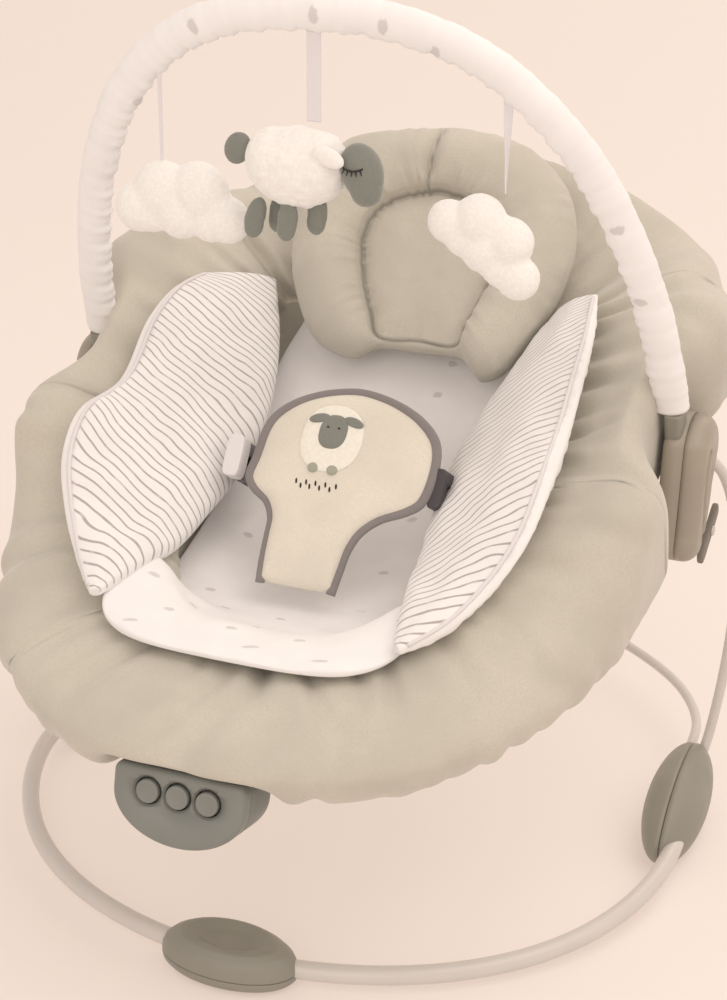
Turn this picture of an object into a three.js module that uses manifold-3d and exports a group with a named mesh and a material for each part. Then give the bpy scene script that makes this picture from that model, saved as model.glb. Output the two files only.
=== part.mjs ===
// Bouncer seat with a toy bar, in millimetres.
// +Z is up, -Y is the foot end and +Y the head end. Left and right are as seen from the foot end:
// right is +X.
// The origin is at the middle of the footprint, on the surface that the feet stand on.
import * as THREE from "three";
import { mergeVertices } from "three/addons/utils/BufferGeometryUtils.js";
import Module from "manifold-3d";

const wasm = await Module();
wasm.setup();

// ---------------------------------------------------------------- driving dimensions

const GAP = 0.3; // between pieces that touch
const LOOSE = 0.6; // round a piece that slides or is threaded through

const SEAT_HALF_WIDTH = 168; // to the centreline of the padded ring
const RING_HALF_WIDTH = 57;
const RING_PINCH = 32; // how much narrower the ring is at a hub
const INSIDE_SHARE = (SEAT_HALF_WIDTH - RING_HALF_WIDTH) / 111; // of the usual width inside the ring

const HUB_INNER_X = SEAT_HALF_WIDTH + RING_HALF_WIDTH - RING_PINCH + 3;
const HUB_SPLIT_X = HUB_INNER_X + 14;
const HUB_OUTER_X = HUB_INNER_X + 28;

const BASE_HALF_WIDTH = HUB_OUTER_X + 5; // to the centre of the front tube
const BASE_FRONT = 199; // from the tube's ends to its centre at the foot end
const BASE_TUBE_RADIUS = 6;
const BASE_TUBE_HEIGHT = 11.3; // of its centre, at the foot end
const REAR_WIRE_BACK = 291; // how far the rear wire reaches behind the tube's ends
const REAR_WIRE_HEIGHT = 36;
const WIRE_RADIUS = 3.5; // leg wires and rear wire
const BASE_STEPS = 32; // straight lengths that a bent tube of the base is drawn with

const FOOT_X = BASE_HALF_WIDTH - 8; // middle of a side foot
const FOOT_Y = 55;
const FOOT_HALF_WIDTH = 21;
const FOOT_HALF_LENGTH = 57;
const FOOT_HALF_HEIGHT = 28;
const WIRE_SPREAD = 5; // of the leg wire and the rear wire from the middle of a foot
const FOOT_LEAN = 0.16; // the rear end stands higher
const FOOT_PAD_THICKNESS = 2;
const SHELL = 2.5; // wall of the moulded shells

const FRONT_FOOT_HALF_LENGTH = 45;
const FRONT_FOOT_HALF_DEPTH = 24;
const FRONT_FOOT_HEIGHT = 27;

const LEG_PIVOT_Y = 109; // where a leg wire leaves its foot, and flexes
const LEG_PIVOT_Z = 45;
const LEG_BOW_X = BASE_HALF_WIDTH + 8.5; // the widest place of a leg wire

const HUB_DOME = 11; // how far the outer cover's edge is rounded back
const TAB = { x: HUB_OUTER_X - 3, y: 80, z: 218, rise: 26 }; // a fastening tab beside a hub
const HUB_TOP = { y: 57, z: 282, radius: 27 };
const HUB_BOTTOM = { y: 41, z: 230, radius: 15 };

const SEAT_WIDEST_Y = 92;
const SEAT_FOOT_REACH = 298; // from the widest place to the foot end of the centreline
const SEAT_HEAD_REACH = 112;
const SEAT_ROUNDNESS = 2.41; // exponent of the superellipse, 2 is an ellipse
const SEAT_HEIGHT = 297; // of the centreline, at the widest place
const SEAT_SLOPE = 0.621;
const SEAT_CURVE = 0.000852; // how much the side view bends up towards both ends
const RING_TOP = 37; // above the centreline, at the sides
const RING_TOP_AT_FOOT = 20;
const RING_TOP_AT_HEAD = 10;
const RING_BOTTOM = 36; // below it
const SEAT_TUBE_RADIUS = 6;
const BUCKET_PROFILE = [ // [y, z] of the seat's lining along its middle line
  [-196, 219], [-172, 218], [-150, 210], [-110, 202], [-60, 200],
  [0, 213], [40, 238], [80, 272], [113, 303], [138, 326],
];
const INSERT_THICKNESS = 12;
const SLING_THICKNESS = 4;
const RING_CLEARANCE = 5; // between the faceted ring and the insert's front lip

const PILLOW = { y: 139, z: 377, slope: 50, halfWidth: 103, halfLength: 84, halfThickness: 23 };
const WING_HALF_THICKNESS = 8;

const CROTCH_FOOT = { y: -94, z: 216 };
const CROTCH_SLOPE = 51;
const CROTCH_LENGTH = 131;
const CROTCH_THICKNESS = 8;
const CROTCH_SWAY = 12; // the pad leans to one side by this at its top
const BUCKLE_SWAY = 6.5; // and by this where the buckles are
const BELT_WIDTH = 24;
const BELT_THICKNESS = 1.6;
const BUCKLE_START = new THREE.Vector3(68 * INSIDE_SHARE, -46, 277);
const BUCKLE_RUN = new THREE.Vector3(0.06, 0.83, -0.555).normalize();

const VIBRATOR = { y: -261, z: 163, lean: 14, halfWidth: 41, above: 14, below: 31, depth: 40 };
const DOOR_TRAVEL = 16; // room behind the unit for its battery door to come off
const BUTTON_RADIUS = 7;
const BUTTON_PITCH = 18.5;
const BUTTON_PROUD = 1.4;

const BAR_HALF_WIDTH = HUB_INNER_X + 7;
const BAR_HEIGHT = 354; // of the arch's centreline, above its own base line
const BAR_BASE_Y = 70.4;
const BAR_BASE_Z = 228.7;
const BAR_LEAN = 20; // degrees forward from upright
const BAR_ROUNDNESS = 2.48;
const BAR_TUBE_RADIUS = 5;
const SLEEVE_HALF_WIDTH = 12.5;
const SLEEVE_HALF_THICKNESS = 9;
const SLEEVE_STARTS = 96; // height of the sleeve's lower ends above the base line
const PLUG_SHOWS = 15;
const PLUG_INSERTED = 26;

const TOY_SIDE_X = BAR_HALF_WIDTH - 93;
const RIBBON_WIDTH = 8;
const RIBBON_THICKNESS = 1.2;
const RIBBON_GAP = 8; // from the sleeve's underside, so that a ribbon can swing
const TOY_HALF_THICKNESS = 12;

// ---------------------------------------------------------------- materials

const plastic = (color) => new THREE.MeshStandardMaterial({ color, roughness: 0.45, metalness: 0 });
const fabric = (color) => new THREE.MeshStandardMaterial({ color, roughness: 0.95, metalness: 0 });
const metal = (color) => new THREE.MeshStandardMaterial({ color, roughness: 0.35, metalness: 0.6 });

const WHITE_METAL = metal(0xe9e4dc);
const SAGE_PLASTIC = plastic(0xa09f8e);
const DARK_PLASTIC = plastic(0x4b4a4c);
const RUBBER = plastic(0x55534f);
const STEEL = metal(0xb9b9b9);
const BOARD = plastic(0x3d6b4a);
const CELL = plastic(0x6f6f75);
const SAGE_VELOUR = fabric(0xb7b7a2);
const PALE_VELOUR = fabric(0xcfcdb8);
const WHITE_FABRIC = fabric(0xf2ebe6);
const STRIPED_FABRIC = fabric(0xe9e2de);
const WEBBING = fabric(0xe8e2de);
const WHITE_PLUSH = fabric(0xf4ece4);
const GREY_PLUSH = fabric(0x74796f);

// ---------------------------------------------------------------- solids: closing, cutting, joining

function toSolid(geometry) {
  const bare = geometry.clone();
  bare.deleteAttribute("normal");
  bare.deleteAttribute("uv");
  const merged = mergeVertices(bare, 1e-3);
  const triVerts = new Uint32Array(merged.index.array);
  const vertProperties = new Float32Array(merged.attributes.position.array);
  return new wasm.Manifold(new wasm.Mesh({ numProp: 3, vertProperties, triVerts }));
}

function toGeometry(solid) {
  const mesh = solid.getMesh();
  const geometry = new THREE.BufferGeometry();
  geometry.setAttribute("position", new THREE.BufferAttribute(mesh.vertProperties, 3));
  geometry.setIndex(new THREE.BufferAttribute(mesh.triVerts, 1));
  return geometry;
}

const combine = (how) => (first, ...others) =>
  toGeometry(others.reduce((solid, other) => solid[how](toSolid(other)), toSolid(first)));
const cut = combine("subtract");
const join = combine("add");
const common = combine("intersect");

// A box from its lowest and highest corners.
function block(low, high) {
  const size = high.map((value, axis) => value - low[axis]);
  const middle = high.map((value, axis) => (value + low[axis]) / 2);
  return new THREE.BoxGeometry(...size).translate(...middle);
}

// The same shape on the other side of the object's middle plane.
function mirrored(geometry) {
  const corners = geometry.index ? geometry.toNonIndexed() : geometry.clone();
  const flipped = corners.scale(-1, 1, 1);
  const position = flipped.attributes.position;
  for (let corner = 0; corner < position.count; corner += 3) {
    const second = new THREE.Vector3().fromBufferAttribute(position, corner + 1);
    const third = new THREE.Vector3().fromBufferAttribute(position, corner + 2);
    position.setXYZ(corner + 1, ...third);
    position.setXYZ(corner + 2, ...second);
  }
  flipped.deleteAttribute("normal");
  flipped.deleteAttribute("uv");
  return mergeVertices(flipped, 1e-4);
}

// Turns a surface that faces inwards round, so that every solid faces out.
function facingOut(geometry) {
  const position = geometry.attributes.position;
  const index = geometry.index.array;
  const [a, b, c] = [new THREE.Vector3(), new THREE.Vector3(), new THREE.Vector3()];
  let volume = 0;
  for (let i = 0; i < index.length; i += 3) {
    a.fromBufferAttribute(position, index[i]);
    b.fromBufferAttribute(position, index[i + 1]);
    c.fromBufferAttribute(position, index[i + 2]);
    volume += a.dot(b.cross(c));
  }
  if (volume < 0) index.reverse();
  return geometry;
}

function surface(points, triangles) {
  const geometry = new THREE.BufferGeometry().setFromPoints(points);
  geometry.setIndex(triangles);
  return facingOut(geometry);
}

// A solid through a row of closed loops of points. Its ends are closed to their middles, or it runs round.
function loft(loops, { runsRound = false } = {}) {
  const sides = loops[0].length;
  const points = loops.flat();
  const triangles = [];
  const rows = runsRound ? loops.length : loops.length - 1;
  for (let row = 0; row < rows; row++) {
    const next = (row + 1) % loops.length;
    for (let side = 0; side < sides; side++) {
      const beside = (side + 1) % sides;
      const corners = [row * sides + side, row * sides + beside, next * sides + beside, next * sides + side];
      triangles.push(corners[0], corners[1], corners[2], corners[0], corners[2], corners[3]);
    }
  }
  if (!runsRound) {
    for (const [loop, forwards] of [[0, false], [loops.length - 1, true]]) {
      const middle = points.length;
      const sum = loops[loop].reduce((total, point) => total.add(point), new THREE.Vector3());
      points.push(sum.divideScalar(sides));
      for (let side = 0; side < sides; side++) {
        const edge = [loop * sides + side, loop * sides + ((side + 1) % sides)];
        triangles.push(middle, ...(forwards ? edge : edge.reverse()));
      }
    }
  }
  return surface(points, triangles);
}

// A solid between an upper and a lower sheet, each a grid of rows of points.
function slab(upper, lower) {
  const rows = upper.length;
  const columns = upper[0].length;
  const points = [...upper.flat(), ...lower.flat()];
  const below = rows * columns;
  const at = (row, column) => row * columns + column;
  const triangles = [];
  const quad = (a, b, c, d) => triangles.push(a, b, c, a, c, d);
  for (let row = 0; row < rows - 1; row++) {
    for (let column = 0; column < columns - 1; column++) {
      const corners = [at(row, column), at(row, column + 1), at(row + 1, column + 1), at(row + 1, column)];
      quad(...corners);
      quad(...corners.map((corner) => corner + below).reverse());
    }
  }
  const rim = [];
  for (let column = 0; column < columns; column++) rim.push(at(0, column));
  for (let row = 1; row < rows; row++) rim.push(at(row, columns - 1));
  for (let column = columns - 2; column >= 0; column--) rim.push(at(rows - 1, column));
  for (let row = rows - 2; row > 0; row--) rim.push(at(row, 0));
  rim.forEach((corner, place) => {
    const next = rim[(place + 1) % rim.length];
    quad(next, corner, corner + below, next + below);
  });
  return surface(points, triangles);
}

// A round or oval rod along a curve.
function rod(curve, radius, { sides = 6, steps = 24, flat = 1 } = {}) {
  const corners = Array.from({ length: sides }, (_, side) => {
    const angle = (2 * Math.PI * (side + 0.5)) / sides;
    return new THREE.Vector2(radius * Math.cos(angle), radius * flat * Math.sin(angle));
  });
  const settings = { steps, bevelEnabled: false, extrudePath: curve };
  return new THREE.ExtrudeGeometry(new THREE.Shape(corners), settings);
}

const smooth = (points) => new THREE.CatmullRomCurve3(points.map((point) => new THREE.Vector3(...point)));

// Settings for an extrusion whose bevels stay inside its outline and its depth.
function bevelled(depth, bevel, bevelSegments, curveSegments) {
  return {
    depth: depth - 2 * bevel,
    bevelEnabled: bevel > 0,
    bevelThickness: bevel,
    bevelSize: bevel,
    bevelOffset: -bevel,
    bevelSegments,
    curveSegments,
  };
}

// An outline drawn in the Y-Z plane, made solid from one X to another.
function plateAcross(shape, fromX, toX, bevel = 0) {
  const bevelSegments = bevel > 5 ? 2 : 1;
  const geometry = new THREE.ExtrudeGeometry(shape, bevelled(toX - fromX, bevel, bevelSegments, 6));
  const yzx = new THREE.Matrix4().makeBasis(
    new THREE.Vector3(0, 1, 0),
    new THREE.Vector3(0, 0, 1),
    new THREE.Vector3(1, 0, 0),
  );
  return geometry.applyMatrix4(yzx).translate(fromX + bevel, 0, 0);
}

// A plate in the X-Y plane standing on z = 0.
function plate(shape, thickness, bevel = 0) {
  const extruded = new THREE.ExtrudeGeometry(shape, bevelled(thickness, bevel, 1, 5));
  return extruded.translate(0, 0, bevel);
}

// A solid of revolution about Z from [radius, z] pairs that start and end on the axis.
function turned(profile, sides = 16) {
  const points = profile.map(([radius, z]) => new THREE.Vector2(radius, z));
  return facingOut(withoutSlivers(new THREE.LatheGeometry(points, sides).rotateX(Math.PI / 2)));
}

// Merges the corners that meet and drops the faces that this leaves without an area.
function withoutSlivers(geometry) {
  const bare = geometry.clone();
  bare.deleteAttribute("normal");
  bare.deleteAttribute("uv");
  const merged = mergeVertices(bare, 1e-4);
  const index = merged.index.array;
  const kept = [];
  for (let i = 0; i < index.length; i += 3) {
    const [a, b, c] = [index[i], index[i + 1], index[i + 2]];
    if (a !== b && b !== c && a !== c) kept.push(a, b, c);
  }
  return merged.setIndex(kept);
}

function roundedRectangle(halfWidth, halfHeight, radius) {
  const shape = new THREE.Shape();
  shape.moveTo(-halfWidth + radius, -halfHeight);
  shape.lineTo(halfWidth - radius, -halfHeight);
  shape.absarc(halfWidth - radius, -halfHeight + radius, radius, -Math.PI / 2, 0);
  shape.lineTo(halfWidth, halfHeight - radius);
  shape.absarc(halfWidth - radius, halfHeight - radius, radius, 0, Math.PI / 2);
  shape.lineTo(-halfWidth + radius, halfHeight);
  shape.absarc(-halfWidth + radius, halfHeight - radius, radius, Math.PI / 2, Math.PI);
  shape.lineTo(-halfWidth, -halfHeight + radius);
  shape.absarc(-halfWidth + radius, -halfHeight + radius, radius, Math.PI, 1.5 * Math.PI);
  return shape;
}

// ---------------------------------------------------------------- the group

const bouncer = new THREE.Group();

function place(name, geometry, material, parent = bouncer) {
  const mesh = new THREE.Mesh(geometry, material);
  mesh.name = name;
  parent.add(mesh);
}

// Adds a piece on both sides; the geometry given is the one at +X.
function placeBothSides(name, geometry, material, ending = "") {
  place(`${name}_right${ending}`, geometry, material);
  place(`${name}_left${ending}`, mirrored(geometry), material);
}

// ---------------------------------------------------------------- base: tube, wires and feet

function frontTubeCurve() {
  const points = [[BASE_HALF_WIDTH, 26, 21]];
  const count = 18;
  for (let i = 0; i <= count; i++) {
    const angle = (Math.PI * i) / count;
    const side = Math.cos(angle);
    const rise = 8 * Math.pow(Math.abs(side), 8);
    points.push([BASE_HALF_WIDTH * side, -BASE_FRONT * Math.sin(angle), BASE_TUBE_HEIGHT + rise]);
  }
  points.push([-BASE_HALF_WIDTH, 26, 21]);
  return smooth(points);
}

function rearWireCurve() {
  const wireX = FOOT_X - WIRE_SPREAD;
  const half = [[wireX, 92, 30], [wireX, 112, 35], [212, 150, REAR_WIRE_HEIGHT], [188, 197, REAR_WIRE_HEIGHT],
    [135, 245, REAR_WIRE_HEIGHT], [70, 279, REAR_WIRE_HEIGHT]];
  const other = half.map(([x, y, z]) => [-x, y, z]).reverse();
  return smooth([...half, [0, REAR_WIRE_BACK, REAR_WIRE_HEIGHT], ...other]);
}

function legCurve() {
  return smooth([
    [FOOT_X + WIRE_SPREAD, LEG_PIVOT_Y - 10, LEG_PIVOT_Z - 11],
    [FOOT_X + WIRE_SPREAD + 3, LEG_PIVOT_Y + 2, LEG_PIVOT_Z + 8],
    [LEG_BOW_X - 3, 118, 105],
    [LEG_BOW_X, 113, 165],
    [LEG_BOW_X - 2, 98, 222],
    [LEG_BOW_X - 10, 80, 262],
    [HUB_SPLIT_X + 8, 68, 278],
  ]);
}

function footEgg(wall) {
  const egg = new THREE.SphereGeometry(1, 14, 8);
  egg.scale(FOOT_HALF_WIDTH - wall, FOOT_HALF_LENGTH - wall, FOOT_HALF_HEIGHT - wall);
  egg.rotateX(FOOT_LEAN);
  egg.translate(FOOT_X, FOOT_Y, FOOT_HALF_HEIGHT - 3);
  return withoutSlivers(egg);
}

function sideFoot() {
  const far = 400;
  const bottom = FOOT_PAD_THICKNESS + GAP;
  const standing = common(footEgg(0), block([0, -far, bottom], [far, far, far]));
  const hollow = common(footEgg(SHELL), block([0, -far, bottom + SHELL], [far, far, far]));
  const screwHead = new THREE.CylinderGeometry(4, 4, 12, 12).rotateZ(Math.PI / 2);
  screwHead.translate(FOOT_X - FOOT_HALF_WIDTH, FOOT_Y, FOOT_HALF_HEIGHT);
  const shell = cut(
    standing,
    hollow,
    rod(frontTubeCurve(), BASE_TUBE_RADIUS + LOOSE, { sides: 8, steps: BASE_STEPS }),
    rod(rearWireCurve(), WIRE_RADIUS + LOOSE, { steps: BASE_STEPS }),
    rod(legCurve(), WIRE_RADIUS + 2.4),
    screwHead,
  );
  const outerHalf = block([FOOT_X + GAP / 2, -far, 0], [far, far, far]);
  const innerHalf = block([0, -far, 0], [FOOT_X - GAP / 2, far, far]);
  placeBothSides("side_foot", common(shell, outerHalf), SAGE_PLASTIC, "_outer");
  placeBothSides("side_foot", common(shell, innerHalf), SAGE_PLASTIC, "_inner");

  const pad = turned([[0, 0], [11.5, 0], [12, 0.5], [12, FOOT_PAD_THICKNESS], [0, FOOT_PAD_THICKNESS]]);
  pad.scale(1, 2.3, 1).translate(FOOT_X, FOOT_Y, 0);
  placeBothSides("side_foot", pad, RUBBER, "_pad");

  const screw = turned([[0, 0], [3.4, 0], [3.4, 2.6], [1.7, 2.6], [1.7, 15], [0, 15]], 12);
  screw.rotateY(Math.PI / 2).translate(FOOT_X - FOOT_HALF_WIDTH + 2.5, FOOT_Y, FOOT_HALF_HEIGHT);
  placeBothSides("side_foot", screw, STEEL, "_screw");
}

function frontFoot() {
  const stretch = FRONT_FOOT_HALF_LENGTH / FRONT_FOOT_HALF_DEPTH;
  const rim = FRONT_FOOT_HALF_DEPTH;
  const inside = rim - SHELL;
  const seam = BASE_TUBE_HEIGHT - 1;
  const base = FOOT_PAD_THICKNESS + GAP;
  const top = FRONT_FOOT_HEIGHT;
  const tube = rod(frontTubeCurve(), BASE_TUBE_RADIUS + LOOSE, { sides: 8, steps: BASE_STEPS });
  const seat = (geometry) => cut(geometry.scale(stretch, 1, 1).translate(0, -BASE_FRONT, 0), tube);
  const cover = turned([
    [0, top - 4], [rim * 0.3, top - 3.4], [rim * 0.52, top - 1], [rim * 0.6, top], [rim * 0.72, top - 1.5],
    [rim * 0.9, top - 6.5], [rim, seam + 4], [rim, seam + GAP], [inside, seam + GAP], [inside, seam + 3],
    [inside - 4, top - 8.5], [0, top - 8.5],
  ], 22);
  place("front_foot_top", seat(cover), SAGE_PLASTIC);
  const tray = turned([
    [0, base], [rim * 0.82, base], [rim, base + 3.5], [rim, seam], [inside, seam], [inside, base + 4],
    [rim * 0.75, base + SHELL], [0, base + SHELL],
  ], 22);
  place("front_foot_bottom", seat(tray), SAGE_PLASTIC);
  const padRim = rim * 0.75;
  const padTop = FOOT_PAD_THICKNESS;
  const padProfile = [[0, 0], [padRim - 0.7, 0], [padRim, 0.5], [padRim, padTop], [0, padTop]];
  const pad = turned(padProfile, 22);
  place("front_foot_pad", pad.scale(stretch, 1, 1).translate(0, -BASE_FRONT, 0), RUBBER);
}

function base() {
  const frontTube = rod(frontTubeCurve(), BASE_TUBE_RADIUS, { sides: 8, steps: BASE_STEPS });
  place("front_base_tube", frontTube, WHITE_METAL);
  place("rear_base_wire", rod(rearWireCurve(), WIRE_RADIUS, { steps: BASE_STEPS }), WHITE_METAL);
  placeBothSides("leg_wire", rod(legCurve(), WIRE_RADIUS), WHITE_METAL);
  sideFoot();
  frontFoot();
}

// ---------------------------------------------------------------- toy bar curve and plugs

const lean = THREE.MathUtils.degToRad(BAR_LEAN);
const BAR_UP = new THREE.Vector3(0, -Math.sin(lean), Math.cos(lean));

function barPoint(angle) {
  const power = 2 / BAR_ROUNDNESS;
  const x = BAR_HALF_WIDTH * Math.sign(Math.cos(angle)) * Math.pow(Math.abs(Math.cos(angle)), power);
  const up = BAR_HEIGHT * Math.pow(Math.abs(Math.sin(angle)), power);
  return new THREE.Vector3(x, BAR_BASE_Y, BAR_BASE_Z).addScaledVector(BAR_UP, up);
}

function barCurve(fromHeight) {
  const start = Math.asin(Math.pow(fromHeight / BAR_HEIGHT, BAR_ROUNDNESS / 2));
  const count = 22;
  const points = [];
  for (let i = 0; i <= count; i++) points.push(barPoint(start + ((Math.PI - 2 * start) * i) / count));
  return new THREE.CatmullRomCurve3(points);
}

function barPlug(extra) {
  const length = PLUG_INSERTED + PLUG_SHOWS + extra;
  const shape = roundedRectangle(6 + extra, 9 + extra, 3);
  const plug = plate(shape, length);
  plug.rotateX(lean);
  const end = barPoint(Math.asin(Math.pow(SLEEVE_STARTS / BAR_HEIGHT, BAR_ROUNDNESS / 2)));
  end.addScaledVector(BAR_UP, -length - 1);
  return plug.translate(end.x + 2, end.y, end.z);
}

// ---------------------------------------------------------------- hubs

function hubOutline(inset) {
  const { y: ty, z: tz, radius: tr } = HUB_TOP;
  const { y: by, z: bz, radius: br } = HUB_BOTTOM;
  const along = Math.atan2(tz - bz, ty - by);
  const spread = Math.acos((br - tr) / Math.hypot(ty - by, tz - bz));
  const shape = new THREE.Shape();
  shape.absarc(ty, tz, tr - inset, along - Math.PI + spread, along + Math.PI - spread);
  shape.absarc(by, bz, br - inset, along + Math.PI - spread, along + Math.PI + spread);
  return shape;
}

function hubLeaf() {
  const leaf = new THREE.Shape();
  const tall = 26;
  leaf.moveTo(0, -tall);
  leaf.quadraticCurveTo(17, -2, 7, tall);
  leaf.quadraticCurveTo(-13, 12, 0, -tall);
  const across = plateAcross(leaf, HUB_OUTER_X - 3, HUB_OUTER_X + 1.2, 0.6);
  return across.translate(0, (HUB_TOP.y + HUB_BOTTOM.y) / 2 + 3, (HUB_TOP.z + HUB_BOTTOM.z) / 2 + 4);
}

function hubs() {
  const far = 400;
  const cover = plateAcross(hubOutline(0), HUB_SPLIT_X - HUB_DOME, HUB_OUTER_X, HUB_DOME);
  const coverHollow = plateAcross(hubOutline(SHELL), HUB_SPLIT_X - HUB_DOME, HUB_OUTER_X - SHELL, HUB_DOME);
  const backing = plateAcross(hubOutline(0), HUB_INNER_X, HUB_OUTER_X, 4);
  const backingHollow = plateAcross(hubOutline(SHELL), HUB_INNER_X + SHELL, HUB_OUTER_X);
  const threaded = [
    barPlug(GAP),
    rod(legCurve(), WIRE_RADIUS + LOOSE),
    rod(seatTubeCurve(-1), SEAT_TUBE_RADIUS + 1, { steps: 30, sides: 6 }),
    rod(seatTubeCurve(1), SEAT_TUBE_RADIUS + 1, { steps: 30, sides: 6 }),
  ];
  const slotLow = [HUB_INNER_X - 1, HUB_TOP.y - 24, HUB_BOTTOM.z - 4];
  const slotHigh = [HUB_INNER_X + 4, HUB_TOP.y - 21, HUB_BOTTOM.z + 26];
  const slot = block(slotLow, slotHigh);
  const outer = cut(join(cover, hubLeaf()), coverHollow, ...threaded);
  const inner = cut(backing, backingHollow, slot, ...threaded);
  const outerHalf = block([HUB_SPLIT_X + GAP / 2, -far, 0], [far, far, far]);
  const innerHalf = block([0, -far, 0], [HUB_SPLIT_X - GAP / 2, far, far]);
  placeBothSides("hub", common(outer, outerHalf), SAGE_PLASTIC, "_outer");
  placeBothSides("hub", common(inner, innerHalf), SAGE_PLASTIC, "_inner");
}

// ---------------------------------------------------------------- padded ring and seat tubes

// Height of the ring's centreline at a place along the seat.
function seatHeight(y) {
  const away = y - SEAT_WIDEST_Y;
  return SEAT_HEIGHT + SEAT_SLOPE * away + SEAT_CURVE * away * away;
}

function signedPower(value, power) {
  return Math.sign(value) * Math.pow(Math.abs(value), power);
}

// A point on the ring's centreline, or on the same outline drawn inwards by a distance.
function ringPoint(angle, inwards = 0) {
  const power = 2 / SEAT_ROUNDNESS;
  const reach = Math.sin(angle) < 0 ? SEAT_FOOT_REACH : SEAT_HEAD_REACH;
  const x = (SEAT_HALF_WIDTH - inwards) * signedPower(Math.cos(angle), power);
  const y = SEAT_WIDEST_Y + (reach - inwards) * signedPower(Math.sin(angle), power);
  return new THREE.Vector3(x, y, seatHeight(y));
}

const RING_SCAN = Array.from({ length: 240 }, (_, step) => ringPoint((2 * Math.PI * step) / 240));

// Angles that give even steps along the ring.
function evenAngles(count) {
  const fine = 2000;
  const lengths = [0];
  let last = ringPoint(0);
  for (let i = 1; i <= fine; i++) {
    const next = ringPoint((2 * Math.PI * i) / fine);
    lengths.push(lengths[i - 1] + next.distanceTo(last));
    last = next;
  }
  const angles = [];
  let i = 0;
  for (let step = 0; step < count; step++) {
    const wanted = (lengths[fine] * step) / count;
    while (lengths[i + 1] < wanted) i++;
    angles.push((2 * Math.PI * (i + (wanted - lengths[i]) / (lengths[i + 1] - lengths[i]))) / fine);
  }
  return angles;
}

// Half the ring's width, on its inner (-1) or outer (+1) side. It is pinched outside, beside the hubs.
function ringHalfWidth(middle, side) {
  const fromHub = (middle.y - (HUB_TOP.y + HUB_BOTTOM.y) / 2) / 46;
  const beside = Math.abs(middle.x) > SEAT_HALF_WIDTH / 2 && side > 0;
  return RING_HALF_WIDTH - (beside ? RING_PINCH * Math.exp(-(fromHub ** 4)) : 0);
}

// The ring is flatter at the foot end, and under the pillow, than at the sides.
function ringTop(middle) {
  const footCentre = SEAT_WIDEST_Y - SEAT_FOOT_REACH;
  const headCentre = SEAT_WIDEST_Y + SEAT_HEAD_REACH;
  const foot = 1 - THREE.MathUtils.smoothstep(middle.y, footCentre, footCentre + 150);
  const head = THREE.MathUtils.smoothstep(middle.y, headCentre - 70, headCentre - 15);
  return RING_TOP - (RING_TOP - RING_TOP_AT_FOOT) * foot - (RING_TOP - RING_TOP_AT_HEAD) * head;
}

// Height of the ring's upper surface over a place, falling away inside the ring.
function ringTopAt(x, y) {
  let nearest = RING_SCAN[0];
  let best = Infinity;
  for (const middle of RING_SCAN) {
    const away = Math.hypot(middle.x - x, middle.y - y);
    if (away < best) {
      best = away;
      nearest = middle;
    }
  }
  const share = best / RING_HALF_WIDTH;
  const fall = 40;
  const crown = share < 1 ? ringTop(nearest) * Math.sqrt(1 - share * share) : fall * (1 - share);
  return seatHeight(y) + crown;
}

function seatRing() {
  const sides = 12;
  const angles = evenAngles(38);
  const middles = angles.map((angle) => ringPoint(angle));
  const loops = middles.map((middle, i) => {
    const ahead = middles[(i + 1) % middles.length].clone();
    const tangent = ahead.sub(middles[(i + middles.length - 1) % middles.length]).normalize();
    const slope = SEAT_SLOPE + 2 * SEAT_CURVE * (middle.y - SEAT_WIDEST_Y);
    const up = new THREE.Vector3(0, -slope, 1).normalize();
    const out = tangent.clone().cross(up).normalize();
    const lift = out.clone().cross(tangent);
    const top = ringTop(middle);
    return Array.from({ length: sides }, (_, side) => {
      const angle = (2 * Math.PI * side) / sides;
      const tall = Math.sin(angle) > 0 ? top : RING_BOTTOM;
      const width = ringHalfWidth(middle, Math.sign(Math.cos(angle)));
      const across = out.clone().multiplyScalar(width * Math.cos(angle));
      const upwards = lift.clone().multiplyScalar(tall * Math.sin(angle));
      return middle.clone().add(across).add(upwards);
    });
  });
  const ring = loft(loops, { runsRound: true });
  const channelRadius = SEAT_TUBE_RADIUS + 2;
  const channels = [-1, 1].map((end) => rod(seatTubeCurve(end), channelRadius, { steps: 30, sides: 6 }));
  const hubSpace = plateAcross(hubOutline(-1.5), HUB_INNER_X - 1, HUB_OUTER_X);
  place("seat_ring", cut(ring, ...channels, vibratorSpace(), hubSpace, mirrored(hubSpace)), SAGE_VELOUR);
}

// The foot loop (-1) or the head loop (+1) of the seat's frame, from one hub to the other.
function seatTubeCurve(end) {
  const hubY = (HUB_TOP.y + HUB_BOTTOM.y) / 2 + end * 10;
  const hubZ = (HUB_TOP.z + HUB_BOTTOM.z) / 2 + 6 + end * 6;
  const below = 6;
  const points = [[HUB_INNER_X + 8, hubY, hubZ]];
  const count = end < 0 ? 16 : 12;
  const skipped = end < 0 ? 0.3 : 0.42;
  for (let i = 0; i <= count; i++) {
    const angle = end * (skipped + ((Math.PI - 2 * skipped) * i) / count);
    const at = ringPoint(angle);
    points.push([at.x, at.y, at.z - below]);
  }
  points.push([-HUB_INNER_X - 8, hubY, hubZ]);
  return smooth(points);
}

function seatTubes() {
  place("seat_tube_foot", rod(seatTubeCurve(-1), SEAT_TUBE_RADIUS, { steps: 30, sides: 6 }), WHITE_METAL);
  place("seat_tube_head", rod(seatTubeCurve(1), SEAT_TUBE_RADIUS, { steps: 30, sides: 6 }), WHITE_METAL);
}

// ---------------------------------------------------------------- sling, insert and side wings

const BUCKET_LINE = new THREE.CatmullRomCurve3(BUCKET_PROFILE.map(([y, z]) => new THREE.Vector3(0, y, z)));

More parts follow.
